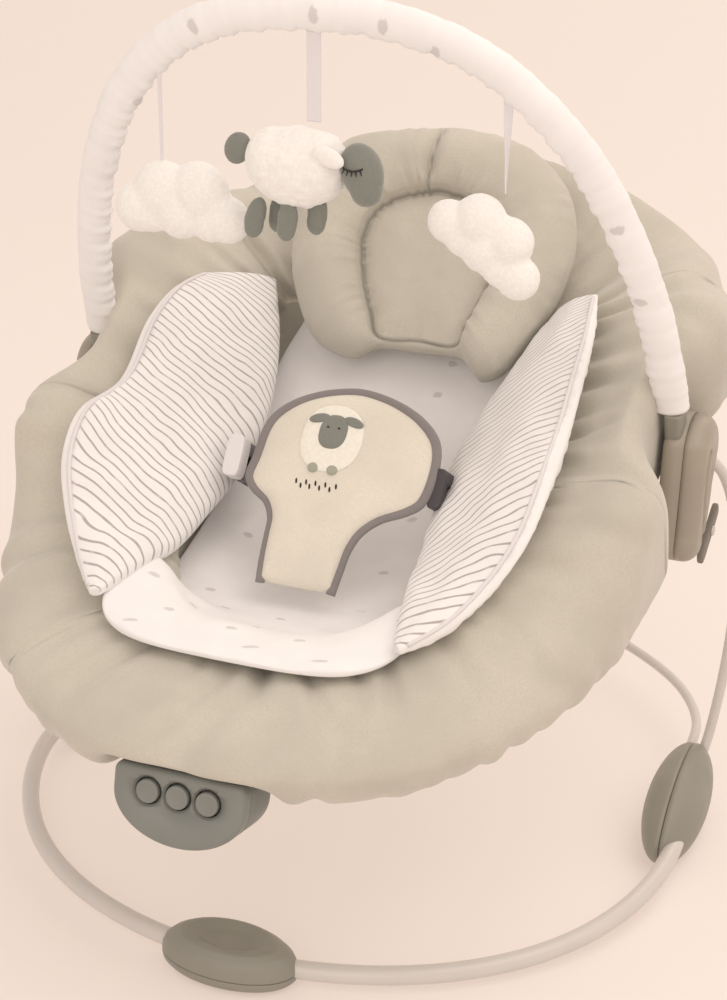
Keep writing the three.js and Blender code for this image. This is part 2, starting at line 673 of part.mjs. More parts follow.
// Height of the seat's lining at a place along its middle line.
function bucketHeight(y) {
  let [low, high] = [0, 1];
  for (let step = 0; step < 30; step++) {
    const middle = (low + high) / 2;
    if (BUCKET_LINE.getPoint(middle).y < y) low = middle;
    else high = middle;
  }
  return BUCKET_LINE.getPoint(low).z;
}

// The lining rises from the middle line to the ring's height at the ring's inner edge.
function liningPoint(x, y, lower) {
  const edge = SEAT_HALF_WIDTH - RING_HALF_WIDTH;
  const middle = bucketHeight(y);
  const rise = Math.max(seatHeight(y) - middle, 0) * Math.pow(Math.abs(x) / edge, 2.2);
  return new THREE.Vector3(x, y, middle + rise - lower);
}

function insertHalfWidth(y) {
  const outline = [
    [-196, 22], [-188, 58], [-176, 80], [-155, 92], [-130, 90], [-90, 76], [0, 70], [90, 74], [138, 70],
  ];
  const after = outline.findIndex(([at]) => at >= y);
  if (after <= 0) return outline[0][1] * INSIDE_SHARE;
  const [y0, w0] = outline[after - 1];
  const [y1, w1] = outline[after];
  return (w0 + ((w1 - w0) * (y - y0)) / (y1 - y0)) * INSIDE_SHARE;
}

function softMaximum(a, b) {
  const blend = 5;
  return Math.max(a, b) + blend * 0.5 * Math.exp(-Math.abs(a - b) / blend);
}

function lining(fromY, toY, halfWidthAt, lower, thickness, restsOnRing) {
  const rows = 16;
  const columns = 8;
  const grid = (down) => Array.from({ length: rows + 1 }, (_, row) => {
    const y = fromY + ((toY - fromY) * row) / rows;
    const half = halfWidthAt(y);
    return Array.from({ length: columns + 1 }, (_, column) => {
      const point = liningPoint(half * ((2 * column) / columns - 1), y, lower);
      if (restsOnRing) point.z = softMaximum(point.z, ringTopAt(point.x, y) + thickness + RING_CLEARANCE);
      return point.setZ(point.z - down);
    });
  });
  return slab(grid(0), grid(thickness));
}

// Half the clear width inside the ring at a place along the seat.
function insideHalfWidth(y) {
  const reach = (y < SEAT_WIDEST_Y ? SEAT_FOOT_REACH : SEAT_HEAD_REACH) - RING_HALF_WIDTH;
  const share = Math.min(Math.abs(y - SEAT_WIDEST_Y) / reach, 0.98);
  const roundness = Math.pow(1 - Math.pow(share, SEAT_ROUNDNESS), 1 / SEAT_ROUNDNESS);
  return (SEAT_HALF_WIDTH - RING_HALF_WIDTH) * roundness - 3;
}

function seatLining() {
  const insideFoot = SEAT_WIDEST_Y - SEAT_FOOT_REACH + RING_HALF_WIDTH;
  const insideHead = SEAT_WIDEST_Y + SEAT_HEAD_REACH - RING_HALF_WIDTH;
  place("seat_insert", lining(-196, 138, insertHalfWidth, 0, INSERT_THICKNESS, true), WHITE_FABRIC);
  const [from, to, below] = [insideFoot + 6, insideHead - 6, INSERT_THICKNESS + 2];
  const sling = lining(from, to, insideHalfWidth, below, SLING_THICKNESS, false);
  place("seat_sling", sling, SAGE_VELOUR);
}

// A flattened spindle between an inner and an outer line.
function wing(inner, outer) {
  const [inside, outside] = [smooth(inner), smooth(outer)];
  const stations = 16;
  const sides = 10;
  const loops = [];
  for (let station = 0; station <= stations; station++) {
    const along = station / stations;
    const [a, b] = [inside.getPoint(along), outside.getPoint(along)];
    const across = b.clone().sub(a);
    const forwards = inside.getTangent(along);
    const thick = across.clone().cross(forwards).normalize();
    const middle = a.clone().add(b).multiplyScalar(0.5);
    const kept = Math.min(Math.max(along, 0.04), 0.96);
    const plump = WING_HALF_THICKNESS * Math.max(Math.sqrt(Math.sin(Math.PI * kept)), 0.3);
    loops.push(Array.from({ length: sides }, (_, side) => {
      const angle = (2 * Math.PI * side) / sides;
      const point = middle.clone().addScaledVector(across, 0.5 * Math.cos(angle));
      return point.addScaledVector(thick, plump * Math.sin(angle));
    }));
  }
  return loft(loops);
}

// Points of a wing's edge: [x, y, height above the ring's centreline].
const wingLine = (points) => points.map(([x, y, above]) => [x * INSIDE_SHARE, y, seatHeight(y) + above]);

function wings() {
  const inner = wingLine([
    [96, -152, 36], [88, -112, 24], [84, -60, 10], [84, 0, 8], [86, 60, 12], [97, 118, 28],
  ]);
  const outer = wingLine([
    [106, -164, 42], [134, -138, 66], [154, -84, 82], [154, -20, 85], [150, 40, 83], [126, 96, 70],
  ]);
  placeBothSides("side_wing", wing(inner, outer), STRIPED_FABRIC);
}

// ---------------------------------------------------------------- head pillow

function headPillow() {
  const pebble = withoutSlivers(new THREE.SphereGeometry(1, 18, 10).rotateX(Math.PI / 2));
  pebble.scale(PILLOW.halfWidth, PILLOW.halfLength, PILLOW.halfThickness);
  const notch = new THREE.CylinderGeometry(40, 40, 80, 20).rotateX(Math.PI / 2).scale(1, 0.45, 1);
  notch.translate(6, -PILLOW.halfLength - 2, 0);
  const slope = THREE.MathUtils.degToRad(PILLOW.slope);
  place("head_pillow", cut(pebble, notch).rotateX(slope).translate(0, PILLOW.y, PILLOW.z), SAGE_VELOUR);
}

// ---------------------------------------------------------------- restraint

function crotchOutline() {
  const shape = new THREE.Shape();
  const neck = 26;
  const chest = 56;
  const tab = 60;
  const length = CROTCH_LENGTH;
  shape.moveTo(-neck, 0);
  shape.lineTo(neck, 0);
  shape.quadraticCurveTo(neck + 4, 42, tab, 58);
  shape.lineTo(tab, 88);
  shape.quadraticCurveTo(chest, 98, chest - 2, 108);
  shape.quadraticCurveTo(0, length + 20, -chest + 2, 108);
  shape.quadraticCurveTo(-chest, 98, -tab, 88);
  shape.lineTo(-tab, 58);
  shape.quadraticCurveTo(-neck - 4, 42, -neck, 0);
  return shape;
}

// Axes of a buckle: along the belt, up the belt's width, and out of its face.
function buckleFrame() {
  const padUp = new THREE.Vector3(0, Math.cos(0.89), Math.sin(0.89));
  const out = BUCKLE_RUN.clone().cross(padUp).normalize();
  const up = out.clone().cross(BUCKLE_RUN).normalize();
  return new THREE.Matrix4().makeBasis(BUCKLE_RUN, up, out).setPosition(BUCKLE_START);
}

function restraint() {
  const slope = THREE.MathUtils.degToRad(CROTCH_SLOPE);
  const pad = plate(crotchOutline(), CROTCH_THICKNESS, 2).translate(0, 0, -CROTCH_THICKNESS / 2);
  pad.applyMatrix4(new THREE.Matrix4().makeShear(0, 0, CROTCH_SWAY / CROTCH_LENGTH, 0, 0, 0));
  place("crotch_restraint", pad.rotateX(slope).translate(0, CROTCH_FOOT.y, CROTCH_FOOT.z), PALE_VELOUR);

  const frame = buckleFrame();
  const socketLength = 26;
  const prong = { length: 16, half: 7, thick: 2 };
  const travelRoom = 1;
  const body = block([0, -13, -5], [socketLength, 13, 5]);
  const mouth = block([socketLength - prong.length - travelRoom, -prong.half - LOOSE, -prong.thick - LOOSE],
    [socketLength + 1, prong.half + LOOSE, prong.thick + LOOSE]);
  const placeBuckle = (name, geometry, material, ending) => {
    place(`${name}_right${ending}`, geometry.clone().translate(BUCKLE_SWAY, 0, 0), material);
    place(`${name}_left${ending}`, mirrored(geometry).translate(BUCKLE_SWAY, 0, 0), material);
  };
  placeBuckle("buckle", cut(body, mouth).applyMatrix4(frame), DARK_PLASTIC, "_socket");
  const flange = block([socketLength + GAP, -13, -4], [socketLength + 14, 13, 4]);
  const tongue = join(flange, block([socketLength - prong.length, -prong.half, -prong.thick],
    [socketLength + 2, prong.half, prong.thick]));
  placeBuckle("buckle", tongue.applyMatrix4(frame), DARK_PLASTIC, "_tongue");

  const under = -4 - GAP - BELT_THICKNESS;
  const [from, to, halfBelt] = [socketLength + 3, socketLength + 24, BELT_WIDTH / 2];
  const belt = block([from, -halfBelt, under], [to, halfBelt, under + BELT_THICKNESS]);
  placeBuckle("waist_belt", belt.applyMatrix4(frame), WEBBING, "");
}

// ---------------------------------------------------------------- vibration unit

function vibratorOutline(inset) {
  const half = VIBRATOR.halfWidth - inset;
  const shape = new THREE.Shape();
  shape.moveTo(-half, VIBRATOR.above - inset);
  shape.lineTo(-half, -2);
  shape.absellipse(0, -2, half, VIBRATOR.below - 2 - inset, Math.PI, 2 * Math.PI);
  shape.lineTo(half, VIBRATOR.above - inset);
  return shape;
}

// The unit is drawn with its panel in the X-Y plane, facing +Z, and is turned into place as a group.
const vibrator = new THREE.Group();
vibrator.rotation.x = Math.PI / 2 - THREE.MathUtils.degToRad(VIBRATOR.lean);
vibrator.position.set(0, VIBRATOR.y, VIBRATOR.z);
bouncer.add(vibrator);

// The room that the unit needs in the ring.
function vibratorSpace() {
  vibrator.updateMatrix();
  const clearance = 1.5;
  const behind = DOOR_TRAVEL + clearance;
  const space = plate(vibratorOutline(-clearance), VIBRATOR.depth + behind + 20);
  return space.translate(0, 0, -VIBRATOR.depth - behind).applyMatrix4(vibrator.matrix);
}

function vibrationUnit() {
  const seam = -9;
  const back = -VIBRATOR.depth;
  const full = plate(vibratorOutline(0), VIBRATOR.depth, 4).translate(0, 0, back);
  const hollow = plate(vibratorOutline(SHELL), VIBRATOR.depth - 2 * SHELL).translate(0, 0, back + SHELL);
  const buttonXs = [-1, 0, 1].map((step) => step * BUTTON_PITCH);
  const holeRadius = BUTTON_RADIUS + LOOSE;
  const holes = buttonXs.map((x) => new THREE.CylinderGeometry(holeRadius, holeRadius, 10, 20)
    .rotateX(Math.PI / 2).translate(x, 0, -2));
  const door = { left: -33, right: 20, low: -15, high: 10.5, thick: SHELL };
  const doorHole = block(
    [door.left - LOOSE, door.low - LOOSE, back - 1],
    [door.right + LOOSE, door.high + LOOSE, back + SHELL + 1],
  );
  const far = 100;
  const shell = cut(full, hollow, ...holes, doorHole);
  const frontHalf = block([-far, -far, seam + GAP / 2], [far, far, far]);
  const backHalf = block([-far, -far, -far], [far, far, seam - GAP / 2]);
  place("vibration_case_front", common(shell, frontHalf), SAGE_PLASTIC, vibrator);
  place("vibration_case_back", common(shell, backHalf), SAGE_PLASTIC, vibrator);

  const cellY = -2.5;
  const screwX = door.right - 4;
  const screwHole = new THREE.CylinderGeometry(2, 2, 10, 12).rotateX(Math.PI / 2);
  screwHole.translate(screwX, cellY, back);
  const lid = block([door.left, door.low, back], [door.right, door.high, back + door.thick]);
  place("battery_door", cut(lid, screwHole), SAGE_PLASTIC, vibrator);
  const screw = turned([[0, 0], [1.6, 0], [1.6, 3], [0, 3]], 10).translate(screwX, cellY, back + GAP);
  place("battery_door_screw", screw, STEEL, vibrator);

  const cellRadius = 12.6;
  const cellMiddle = back + SHELL + door.thick + cellRadius - 1;
  const cell = turned([[0, 0], [cellRadius, 0], [cellRadius, 48.5], [3.2, 48.5], [3.2, 50], [0, 50]], 20);
  place("battery", cell.rotateY(Math.PI / 2).translate(door.left, cellY, cellMiddle), CELL, vibrator);

  const [motorX, motorRadius, motorLength] = [27, 6, 17];
  const [shaftRadius, shaftLength] = [1, 9];
  const motor = join(
    new THREE.CylinderGeometry(motorRadius, motorRadius, motorLength, 16).translate(motorX, 2, cellMiddle),
    new THREE.CylinderGeometry(shaftRadius, shaftRadius, shaftLength, 8).translate(motorX, -10, cellMiddle),
  );
  place("vibration_motor", motor, STEEL, vibrator);
  const half = new THREE.Shape();
  half.absarc(0, 0, motorRadius + 0.5, 0, Math.PI);
  half.absarc(0, 0, 2.6, Math.PI, 2 * Math.PI);
  const shaftHole = new THREE.CylinderGeometry(shaftRadius + 0.4, shaftRadius + 0.4, 20, 10);
  const weight = cut(plate(half, 5), shaftHole.rotateX(Math.PI / 2));
  place("motor_weight", weight.rotateX(Math.PI / 2).translate(motorX, -8, cellMiddle), STEEL, vibrator);

  const boardTop = -7.2;
  place("circuit_board", block([-27, -8, boardTop - 1.6], [27, 8, boardTop]), BOARD, vibrator);
  ["left", "centre", "right"].forEach((side, i) => {
    const [r, high] = [BUTTON_RADIUS, BUTTON_PROUD];
    const cap = turned([
      [0, -4.6], [2, -4.6], [2, -2.5], [r, -2.5],
      [r, high - 0.6], [r - 0.8, high], [r - 2, high - 0.3], [0, high - 0.6],
    ]);
    place(`button_${side}`, cap.translate(buttonXs[i], 0, 0), SAGE_PLASTIC, vibrator);
  });
}

// ---------------------------------------------------------------- fastening tabs beside the hubs

function fasteningTabs() {
  const tab = new THREE.Shape();
  tab.absarc(-18, 0, 5, Math.PI / 2, 1.5 * Math.PI);
  tab.absarc(20, 0, 6, -Math.PI / 2, Math.PI / 2);
  const stud = new THREE.Shape();
  stud.absarc(3, 0, 3.2, 0, 2 * Math.PI);
  const fastened = join(plateAcross(tab, -2, 2), plateAcross(stud, 1, 3.4));
  fastened.rotateX(THREE.MathUtils.degToRad(TAB.rise)).translate(TAB.x, TAB.y, TAB.z);
  placeBothSides("fastening_tab", fastened, DARK_PLASTIC);
}

// ---------------------------------------------------------------- toy bar and toys

function toyBar() {
  const steps = 34;
  const plugDeep = 12;
  const tube = barCurve(SLEEVE_STARTS - plugDeep);
  place("toy_bar_tube", rod(tube, BAR_TUBE_RADIUS, { steps, sides: 6 }), WHITE_METAL);
  const flat = SLEEVE_HALF_THICKNESS / SLEEVE_HALF_WIDTH;
  const outside = rod(barCurve(SLEEVE_STARTS), SLEEVE_HALF_WIDTH, { sides: 10, steps, flat });
  const inside = rod(barCurve(SLEEVE_STARTS - plugDeep), BAR_TUBE_RADIUS + 1.4, { steps, sides: 6 });
  place("toy_bar_sleeve", cut(outside, inside), WHITE_FABRIC);
  const socket = rod(tube, BAR_TUBE_RADIUS + LOOSE, { steps, sides: 6 });
  placeBothSides("toy_bar_plug", cut(barPlug(0), socket), SAGE_PLASTIC);
}

function cloudOutline() {
  const shape = new THREE.Shape();
  shape.moveTo(-28, -20);
  shape.lineTo(28, -20);
  shape.absarc(28, -7, 13, -Math.PI / 2, 0.35 * Math.PI);
  shape.absarc(10, 8, 15.5, 0.05 * Math.PI, 0.72 * Math.PI);
  shape.absarc(-12, 3, 15, 0.52 * Math.PI, 0.97 * Math.PI);
  shape.absarc(-29, -8, 12, 0.62 * Math.PI, 1.5 * Math.PI);
  return shape;
}

// The underside of the sleeve over a place across the bar.
function hangingPoint(x) {
  let [low, high] = [0.2, Math.PI / 2];
  for (let step = 0; step < 40; step++) {
    const middle = (low + high) / 2;
    if (barPoint(middle).x > Math.abs(x)) low = middle;
    else high = middle;
  }
  return barPoint(low).setX(x);
}

function ribbon(name, x, length, material) {
  const top = hangingPoint(x);
  const start = top.z - SLEEVE_HALF_WIDTH - RIBBON_GAP;
  const [halfWidth, halfThick] = [RIBBON_WIDTH / 2, RIBBON_THICKNESS / 2];
  const low = [x - halfWidth, top.y - halfThick, start - length];
  const high = [x + halfWidth, top.y + halfThick, start];
  place(name, block(low, high), material);
  return new THREE.Vector3(x, top.y, start - length);
}

function cloud(name, end, tilt, size, offCentre) {
  const halfThickness = TOY_HALF_THICKNESS / size;
  const puff = plate(cloudOutline(), 2 * halfThickness, 4).translate(0, 0, -halfThickness);
  puff.scale(size, size, size).rotateX(Math.PI / 2).rotateY(tilt);
  puff.computeBoundingBox();
  const above = highestNear(puff, -offCentre);
  place(name, puff.translate(end.x + offCentre, end.y, end.z - above - GAP), WHITE_PLUSH);
}

// The highest place of a shape near a given X.
function highestNear(geometry, x) {
  const position = geometry.attributes.position;
  let best = -Infinity;
  for (let i = 0; i < position.count; i++) {
    if (Math.abs(position.getX(i) - x) < 16) best = Math.max(best, position.getZ(i));
  }
  return best;
}

function sheep(end) {
  const egg = (rx, ry, rz) => withoutSlivers(new THREE.SphereGeometry(1, 10, 6)).scale(rx, ry, rz);
  const middle = { x: end.x - 12, y: end.y, z: end.z - 27 - GAP };
  const tail = egg(7, 6, 9).translate(-36, 0, 8);
  const legs = [-24, -2].map((x) => egg(6.5, 6.5, 15).rotateY(0.3).translate(x, -4, -32));
  const farLegs = [-12, 12].map((x) => egg(5.5, 6.5, 12).translate(x, 5, -30));
  const body = join(egg(33, 19, 27), tail, ...legs, ...farLegs);
  place("toy_sheep_body", body.translate(middle.x, middle.y, middle.z), WHITE_PLUSH);
  const headEgg = egg(14, 12, 20).rotateY(-0.35).translate(middle.x + 42, middle.y - 2, middle.z - 1);
  const head = cut(headEgg, toyClearance(middle));
  place("toy_sheep_head", head, GREY_PLUSH);
}

function toyClearance(middle) {
  const body = withoutSlivers(new THREE.SphereGeometry(1, 10, 6)).scale(33 + GAP, 19 + GAP, 27 + GAP);
  return body.translate(middle.x, middle.y, middle.z);
}

function toys() {
  const leftEnd = ribbon("toy_ribbon_left", -TOY_SIDE_X, 48, WEBBING);
  cloud("toy_cloud_left", leftEnd, 0.05, 1.14, 13);
  const middleEnd = ribbon("toy_ribbon_centre", -4, 42, WEBBING);
  sheep(middleEnd);
  const rightEnd = ribbon("toy_ribbon_right", TOY_SIDE_X, 44, WEBBING);
  cloud("toy_cloud_right", rightEnd, 0.6, 1, -4);
}

// ---------------------------------------------------------------- assembly

base();
hubs();
seatTubes();
seatRing();
seatLining();
wings();
headPillow();
restraint();
vibrationUnit();
fasteningTabs();
toyBar();
toys();

// The middle of the footprint goes to the origin.
const extent = new THREE.Box3().setFromObject(bouncer);
const seat = new THREE.Group();
bouncer.position.y = -(extent.min.y + extent.max.y) / 2;
seat.add(bouncer);

export default seat;
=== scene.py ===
"""Looks of a bouncer seat with a toy bar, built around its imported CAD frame.

Shapes are worked out in millimetres in the CAD model's drawing frame (-Y is the foot end, right is +X) and
turned into row-frame metres when a mesh is made.
"""

import math

import bmesh
import bpy
import numpy as np
from mathutils import Matrix, Vector, noise


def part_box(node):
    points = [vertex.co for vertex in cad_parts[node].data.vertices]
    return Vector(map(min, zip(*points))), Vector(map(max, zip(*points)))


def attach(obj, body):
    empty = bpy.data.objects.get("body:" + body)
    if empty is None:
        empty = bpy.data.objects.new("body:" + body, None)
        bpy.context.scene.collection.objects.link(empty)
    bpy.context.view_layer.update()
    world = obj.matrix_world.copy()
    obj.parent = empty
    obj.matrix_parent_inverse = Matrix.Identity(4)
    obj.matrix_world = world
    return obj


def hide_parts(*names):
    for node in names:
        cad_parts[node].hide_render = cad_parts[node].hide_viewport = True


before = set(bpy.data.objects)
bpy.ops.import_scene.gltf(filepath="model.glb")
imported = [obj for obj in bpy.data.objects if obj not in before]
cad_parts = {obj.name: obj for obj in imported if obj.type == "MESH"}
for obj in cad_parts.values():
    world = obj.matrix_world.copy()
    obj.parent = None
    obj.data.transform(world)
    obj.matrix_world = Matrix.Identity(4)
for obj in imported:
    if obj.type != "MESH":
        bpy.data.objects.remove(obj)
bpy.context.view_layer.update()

MM = 0.001
FOOT = Vector((221, 55, 25))  # middle of the right side foot, in the drawing frame
pad_low, pad_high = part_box("side_foot_right_pad")
FRAME_Y = (pad_low.y + pad_high.y) / 2 - FOOT.y * MM
RANDOM = np.random.default_rng(7)

# ------------------------------------------------------------------ driving sizes, in millimetres

BASE_HALF_WIDTH = 229
BASE_FRONT = 199
BASE_TUBE_RADIUS = 6
BASE_TUBE_HEIGHT = 11.3
REAR_WIRE_HEIGHT = 36
WIRE_RADIUS = 3.5
FRONT_FOOT_DEPTH = 24
FRONT_FOOT_LENGTH = 45

HUB_INNER_X, HUB_SPLIT_X, HUB_OUTER_X = 196, 210, 224
HUB_TOP = (57, 282, 27)  # y, z and radius
HUB_BOTTOM = (41, 230, 15)

SEAT_HALF_WIDTH = 168
SEAT_WIDEST_Y = 92
SEAT_FOOT_REACH, SEAT_HEAD_REACH = 298, 112
SEAT_ROUNDNESS = 2.41
RING_HALF_WIDTH = 57
RING_TOP, RING_TOP_AT_FOOT, RING_TOP_AT_HEAD, RING_BOTTOM = 37, 20, 10, 36
RING_PINCH = 32
RING_BANK = 20  # how much higher the ring's outer shoulder stands at the sides
RING_SEAMS = (0.04, 0.245, 0.46, 0.60, 0.90)  # where the cover is joined, as shares of the way round
NO_SEAM = 50.0  # a distance at which no seam shows
SEAT_MIDDLE_Z = 297  # the ring's centreline where the seat is widest
SEAT_RISE, SEAT_CURVE = 0.621, 0.000852

PILLOW_AT = Vector((0, 139, 377))
PILLOW_SLOPE = math.radians(50)
CROTCH_AT = Vector((0, -94, 216))
CROTCH_SLOPE = math.radians(51)

VIBRATOR_AT = Vector((0, -261, 163))
VIBRATOR_LEAN = math.radians(14)
VIBRATOR_HALF_WIDTH, VIBRATOR_ABOVE, VIBRATOR_BELOW, VIBRATOR_DEPTH = 41, 14, 31, 40
BUTTON_PITCH = 18.5

BAR_HALF_WIDTH, BAR_HEIGHT, BAR_BASE = 203, 354, Vector((0, 70.4, 228.7))
BAR_LEAN = math.radians(20)
BAR_ROUNDNESS = 2.48
SLEEVE_STARTS = 96
BAR_UP = Vector((0, -math.sin(BAR_LEAN), math.cos(BAR_LEAN)))


# ------------------------------------------------------------------ mesh helpers

def to_frame(points):
    """Drawing millimetres as row-frame metres."""
    return np.asarray(points, float) * MM + np.array([0, FRAME_Y, 0])


def make_mesh(name, points, faces):
    """A smooth mesh object from drawing millimetres, with its faces turned outwards."""
    mesh = bpy.data.meshes.new(name)
    mesh.from_pydata(to_frame(points).tolist(), [], faces)
    tidy = bmesh.new()
    tidy.from_mesh(mesh)
    bmesh.ops.recalc_face_normals(tidy, faces=tidy.faces)
    tidy.to_mesh(mesh)
    tidy.free()
    mesh.shade_smooth()
    obj = bpy.data.objects.new(name, mesh)
    bpy.context.scene.collection.objects.link(obj)
    return obj


def loft(name, loops, runs_round=False):
    """A closed body through loops, an array of (row, side, xyz). Its ends are capped, or it runs round."""
    rows, sides = loops.shape[:2]
    grid = np.arange(rows * sides).reshape(rows, sides)
    here = grid if runs_round else grid[:-1]
    ahead = np.roll(grid, -1, axis=0) if runs_round else grid[1:]
    quads = np.stack([here, np.roll(here, -1, 1), np.roll(ahead, -1, 1), ahead], -1)
    faces = quads.reshape(-1, 4).tolist()
    points = loops.reshape(-1, 3)
    if not runs_round:
        points = np.concatenate([points, loops[0].mean(0)[None], loops[-1].mean(0)[None]])
        for row, middle in ((grid[0], rows * sides), (grid[-1], rows * sides + 1)):
            faces += [[middle, int(a), int(b)] for a, b in zip(row, np.roll(row, -1))]
    return make_mesh(name, points, faces)


def set_values(obj, name, values):
    """A number at each point of a mesh, for its material. The capped ends take the last value."""
    flat = np.ravel(values).astype(np.float32)
    missing = len(obj.data.vertices) - len(flat)
    flat = np.concatenate([flat, np.full(missing, flat[-1], np.float32)])
    obj.data.attributes.new(name, "FLOAT", "POINT").data.foreach_set("value", flat)


def modify(obj, kind, **settings):
    """Adds one modifier and applies it."""
    modifier = obj.modifiers.new(kind.title(), kind)
    for key, value in settings.items():
        setattr(modifier, key, value)
    evaluated = obj.evaluated_get(bpy.context.evaluated_depsgraph_get())
    mesh = bpy.data.meshes.new_from_object(evaluated)
    obj.modifiers.clear()
    obj.data = mesh
    mesh.shade_smooth()


def subdivide(obj):
    """Rounds a mesh off with one step of subdivision."""
    modify(obj, "SUBSURF", levels=1, render_levels=1)


def smooth_curve(points, count):
    """Points spread evenly along a centripetal Catmull-Rom curve through the given ones."""
    points = np.asarray(points, float)
    padded = [2 * points[0] - points[1], *points, 2 * points[-1] - points[-2]]
    t = np.linspace(0, 1, 24, endpoint=False)[:, None]
    pieces = []
    for p0, p1, p2, p3 in zip(padded, padded[1:], padded[2:], padded[3:]):
        d0, d1, d2 = (max(np.linalg.norm(b - a), 1e-6) ** 0.5 for a, b in ((p0, p1), (p1, p2), (p2, p3)))
        start = ((p1 - p0) / d0 - (p2 - p0) / (d0 + d1) + (p2 - p1) / d1) * d1
        end = ((p2 - p1) / d1 - (p3 - p1) / (d1 + d2) + (p3 - p2) / d2) * d1
        pieces.append(
            (2 * t**3 - 3 * t**2 + 1) * p1 + (t**3 - 2 * t**2 + t) * start
            + (3 * t**2 - 2 * t**3) * p2 + (t**3 - t**2) * end
        )
    fine = np.concatenate([*pieces, points[-1:]])
    return spread(fine, count)


def spread(fine, count):
    """A polyline drawn again with evenly spaced points."""
    lengths = np.concatenate([[0], np.cumsum(np.linalg.norm(np.diff(fine, axis=0), axis=1))])
    wanted = np.linspace(0, lengths[-1], count)
    return np.stack([np.interp(wanted, lengths, fine[:, axis]) for axis in range(fine.shape[1])], -1)


def unit(vectors):
    """Vectors scaled to a length of 1."""
    return vectors / np.linalg.norm(vectors, axis=-1, keepdims=True)


def tube(name, path, radius, sides=20, flat=1.0, up=None, runs_round=False):
    """A round or oval rod along a path. radius may be one number or one for each point of the path."""
    if runs_round:
        tangents = unit(np.roll(path, -1, 0) - np.roll(path, 1, 0))
    else:
        tangents = unit(np.gradient(path, axis=0))
    if up is None:
        axes = [np.cross(tangents[0], [0.31, 0.22, 0.93])]
        for tangent in tangents:
            last = axes[-1]
            axes.append(last - tangent * (last @ tangent))
        first = unit(np.array(axes[1:]))
    else:
        first = unit(np.cross(tangents, np.asarray(up, float)))
    second = np.cross(tangents, first)
    angle = full_turn(sides)
    size = np.broadcast_to(np.asarray(radius, float), (len(path),))[:, None, None]
    c, s = np.cos(angle)[None, :, None], np.sin(angle)[None, :, None]
    ring = c * first[:, None] + flat * s * second[:, None]
    return loft(name, path[:, None] + size * ring, runs_round)


def turned(profile, segments=64, steps=60):
    """A solid of revolution about Z from [radius, z] pairs, drawn smoothly."""
    fine = spread(np.asarray(profile, float), steps)
    fine = np.stack([np.maximum(fine[:, 0], 0.01), fine[:, 1]], -1)
    angle = full_turn(segments)
    x = fine[:, :1] * np.cos(angle)
    y = fine[:, :1] * np.sin(angle)
    z = np.repeat(fine[:, 1:], segments, axis=1)
    return np.stack([x, y, z], -1)


def moved(loops, matrix):
    """Loops of points put through a 4 by 4 matrix."""
    turn = np.array(matrix)
    return loops @ turn[:3, :3].T + turn[:3, 3]


def sided(points, sign):
    """Points drawn for the right side, kept there by a sign of 1 and mirrored to the left by -1."""
    return points * np.array([sign, 1, 1])


def both_sides(make):
    """Calls make(side name, sign of X) for the right and the left side."""
    make("right", 1)
    make("left", -1)


def full_turn(count):
    """Angles evenly spread round a circle."""
    return np.linspace(0, 2 * np.pi, count, endpoint=False)


def signed_power(value, power):
    """A power of a number's size that keeps its sign."""
    return np.sign(value) * np.abs(value) ** power


def at_height(outline, z):
    """An outline in X and Y as points at a height."""
    return np.column_stack([outline, np.full(len(outline), z)])


def lumps(points, size, seed=0):
    """Smooth noise from -1 to 1 with lumps of the given size, at each point of an array."""
    shape = points.shape[:-1]
    shifted = points.reshape(-1, 3) / size + np.array([seed * 17.3, seed * 5.1, seed * 9.7])
    return np.array([noise.noise(Vector(p)) for p in shifted]).reshape(shape)


def smoothstep(low, high, value):
    """0 below low, 1 above high and a smooth rise between them."""
    t = np.clip((value - low) / (high - low), 0, 1)
    return t * t * (3 - 2 * t)


def finish_piece(obj, body, material, replaced=()):
    """Gives a piece its material in its one slot and its body, and hides the CAD nodes it stands for."""
    obj.data.materials.clear()
    obj.data.materials.append(material)
    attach(obj, body)
    if replaced:
        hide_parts(*replaced)


# ------------------------------------------------------------------ materials

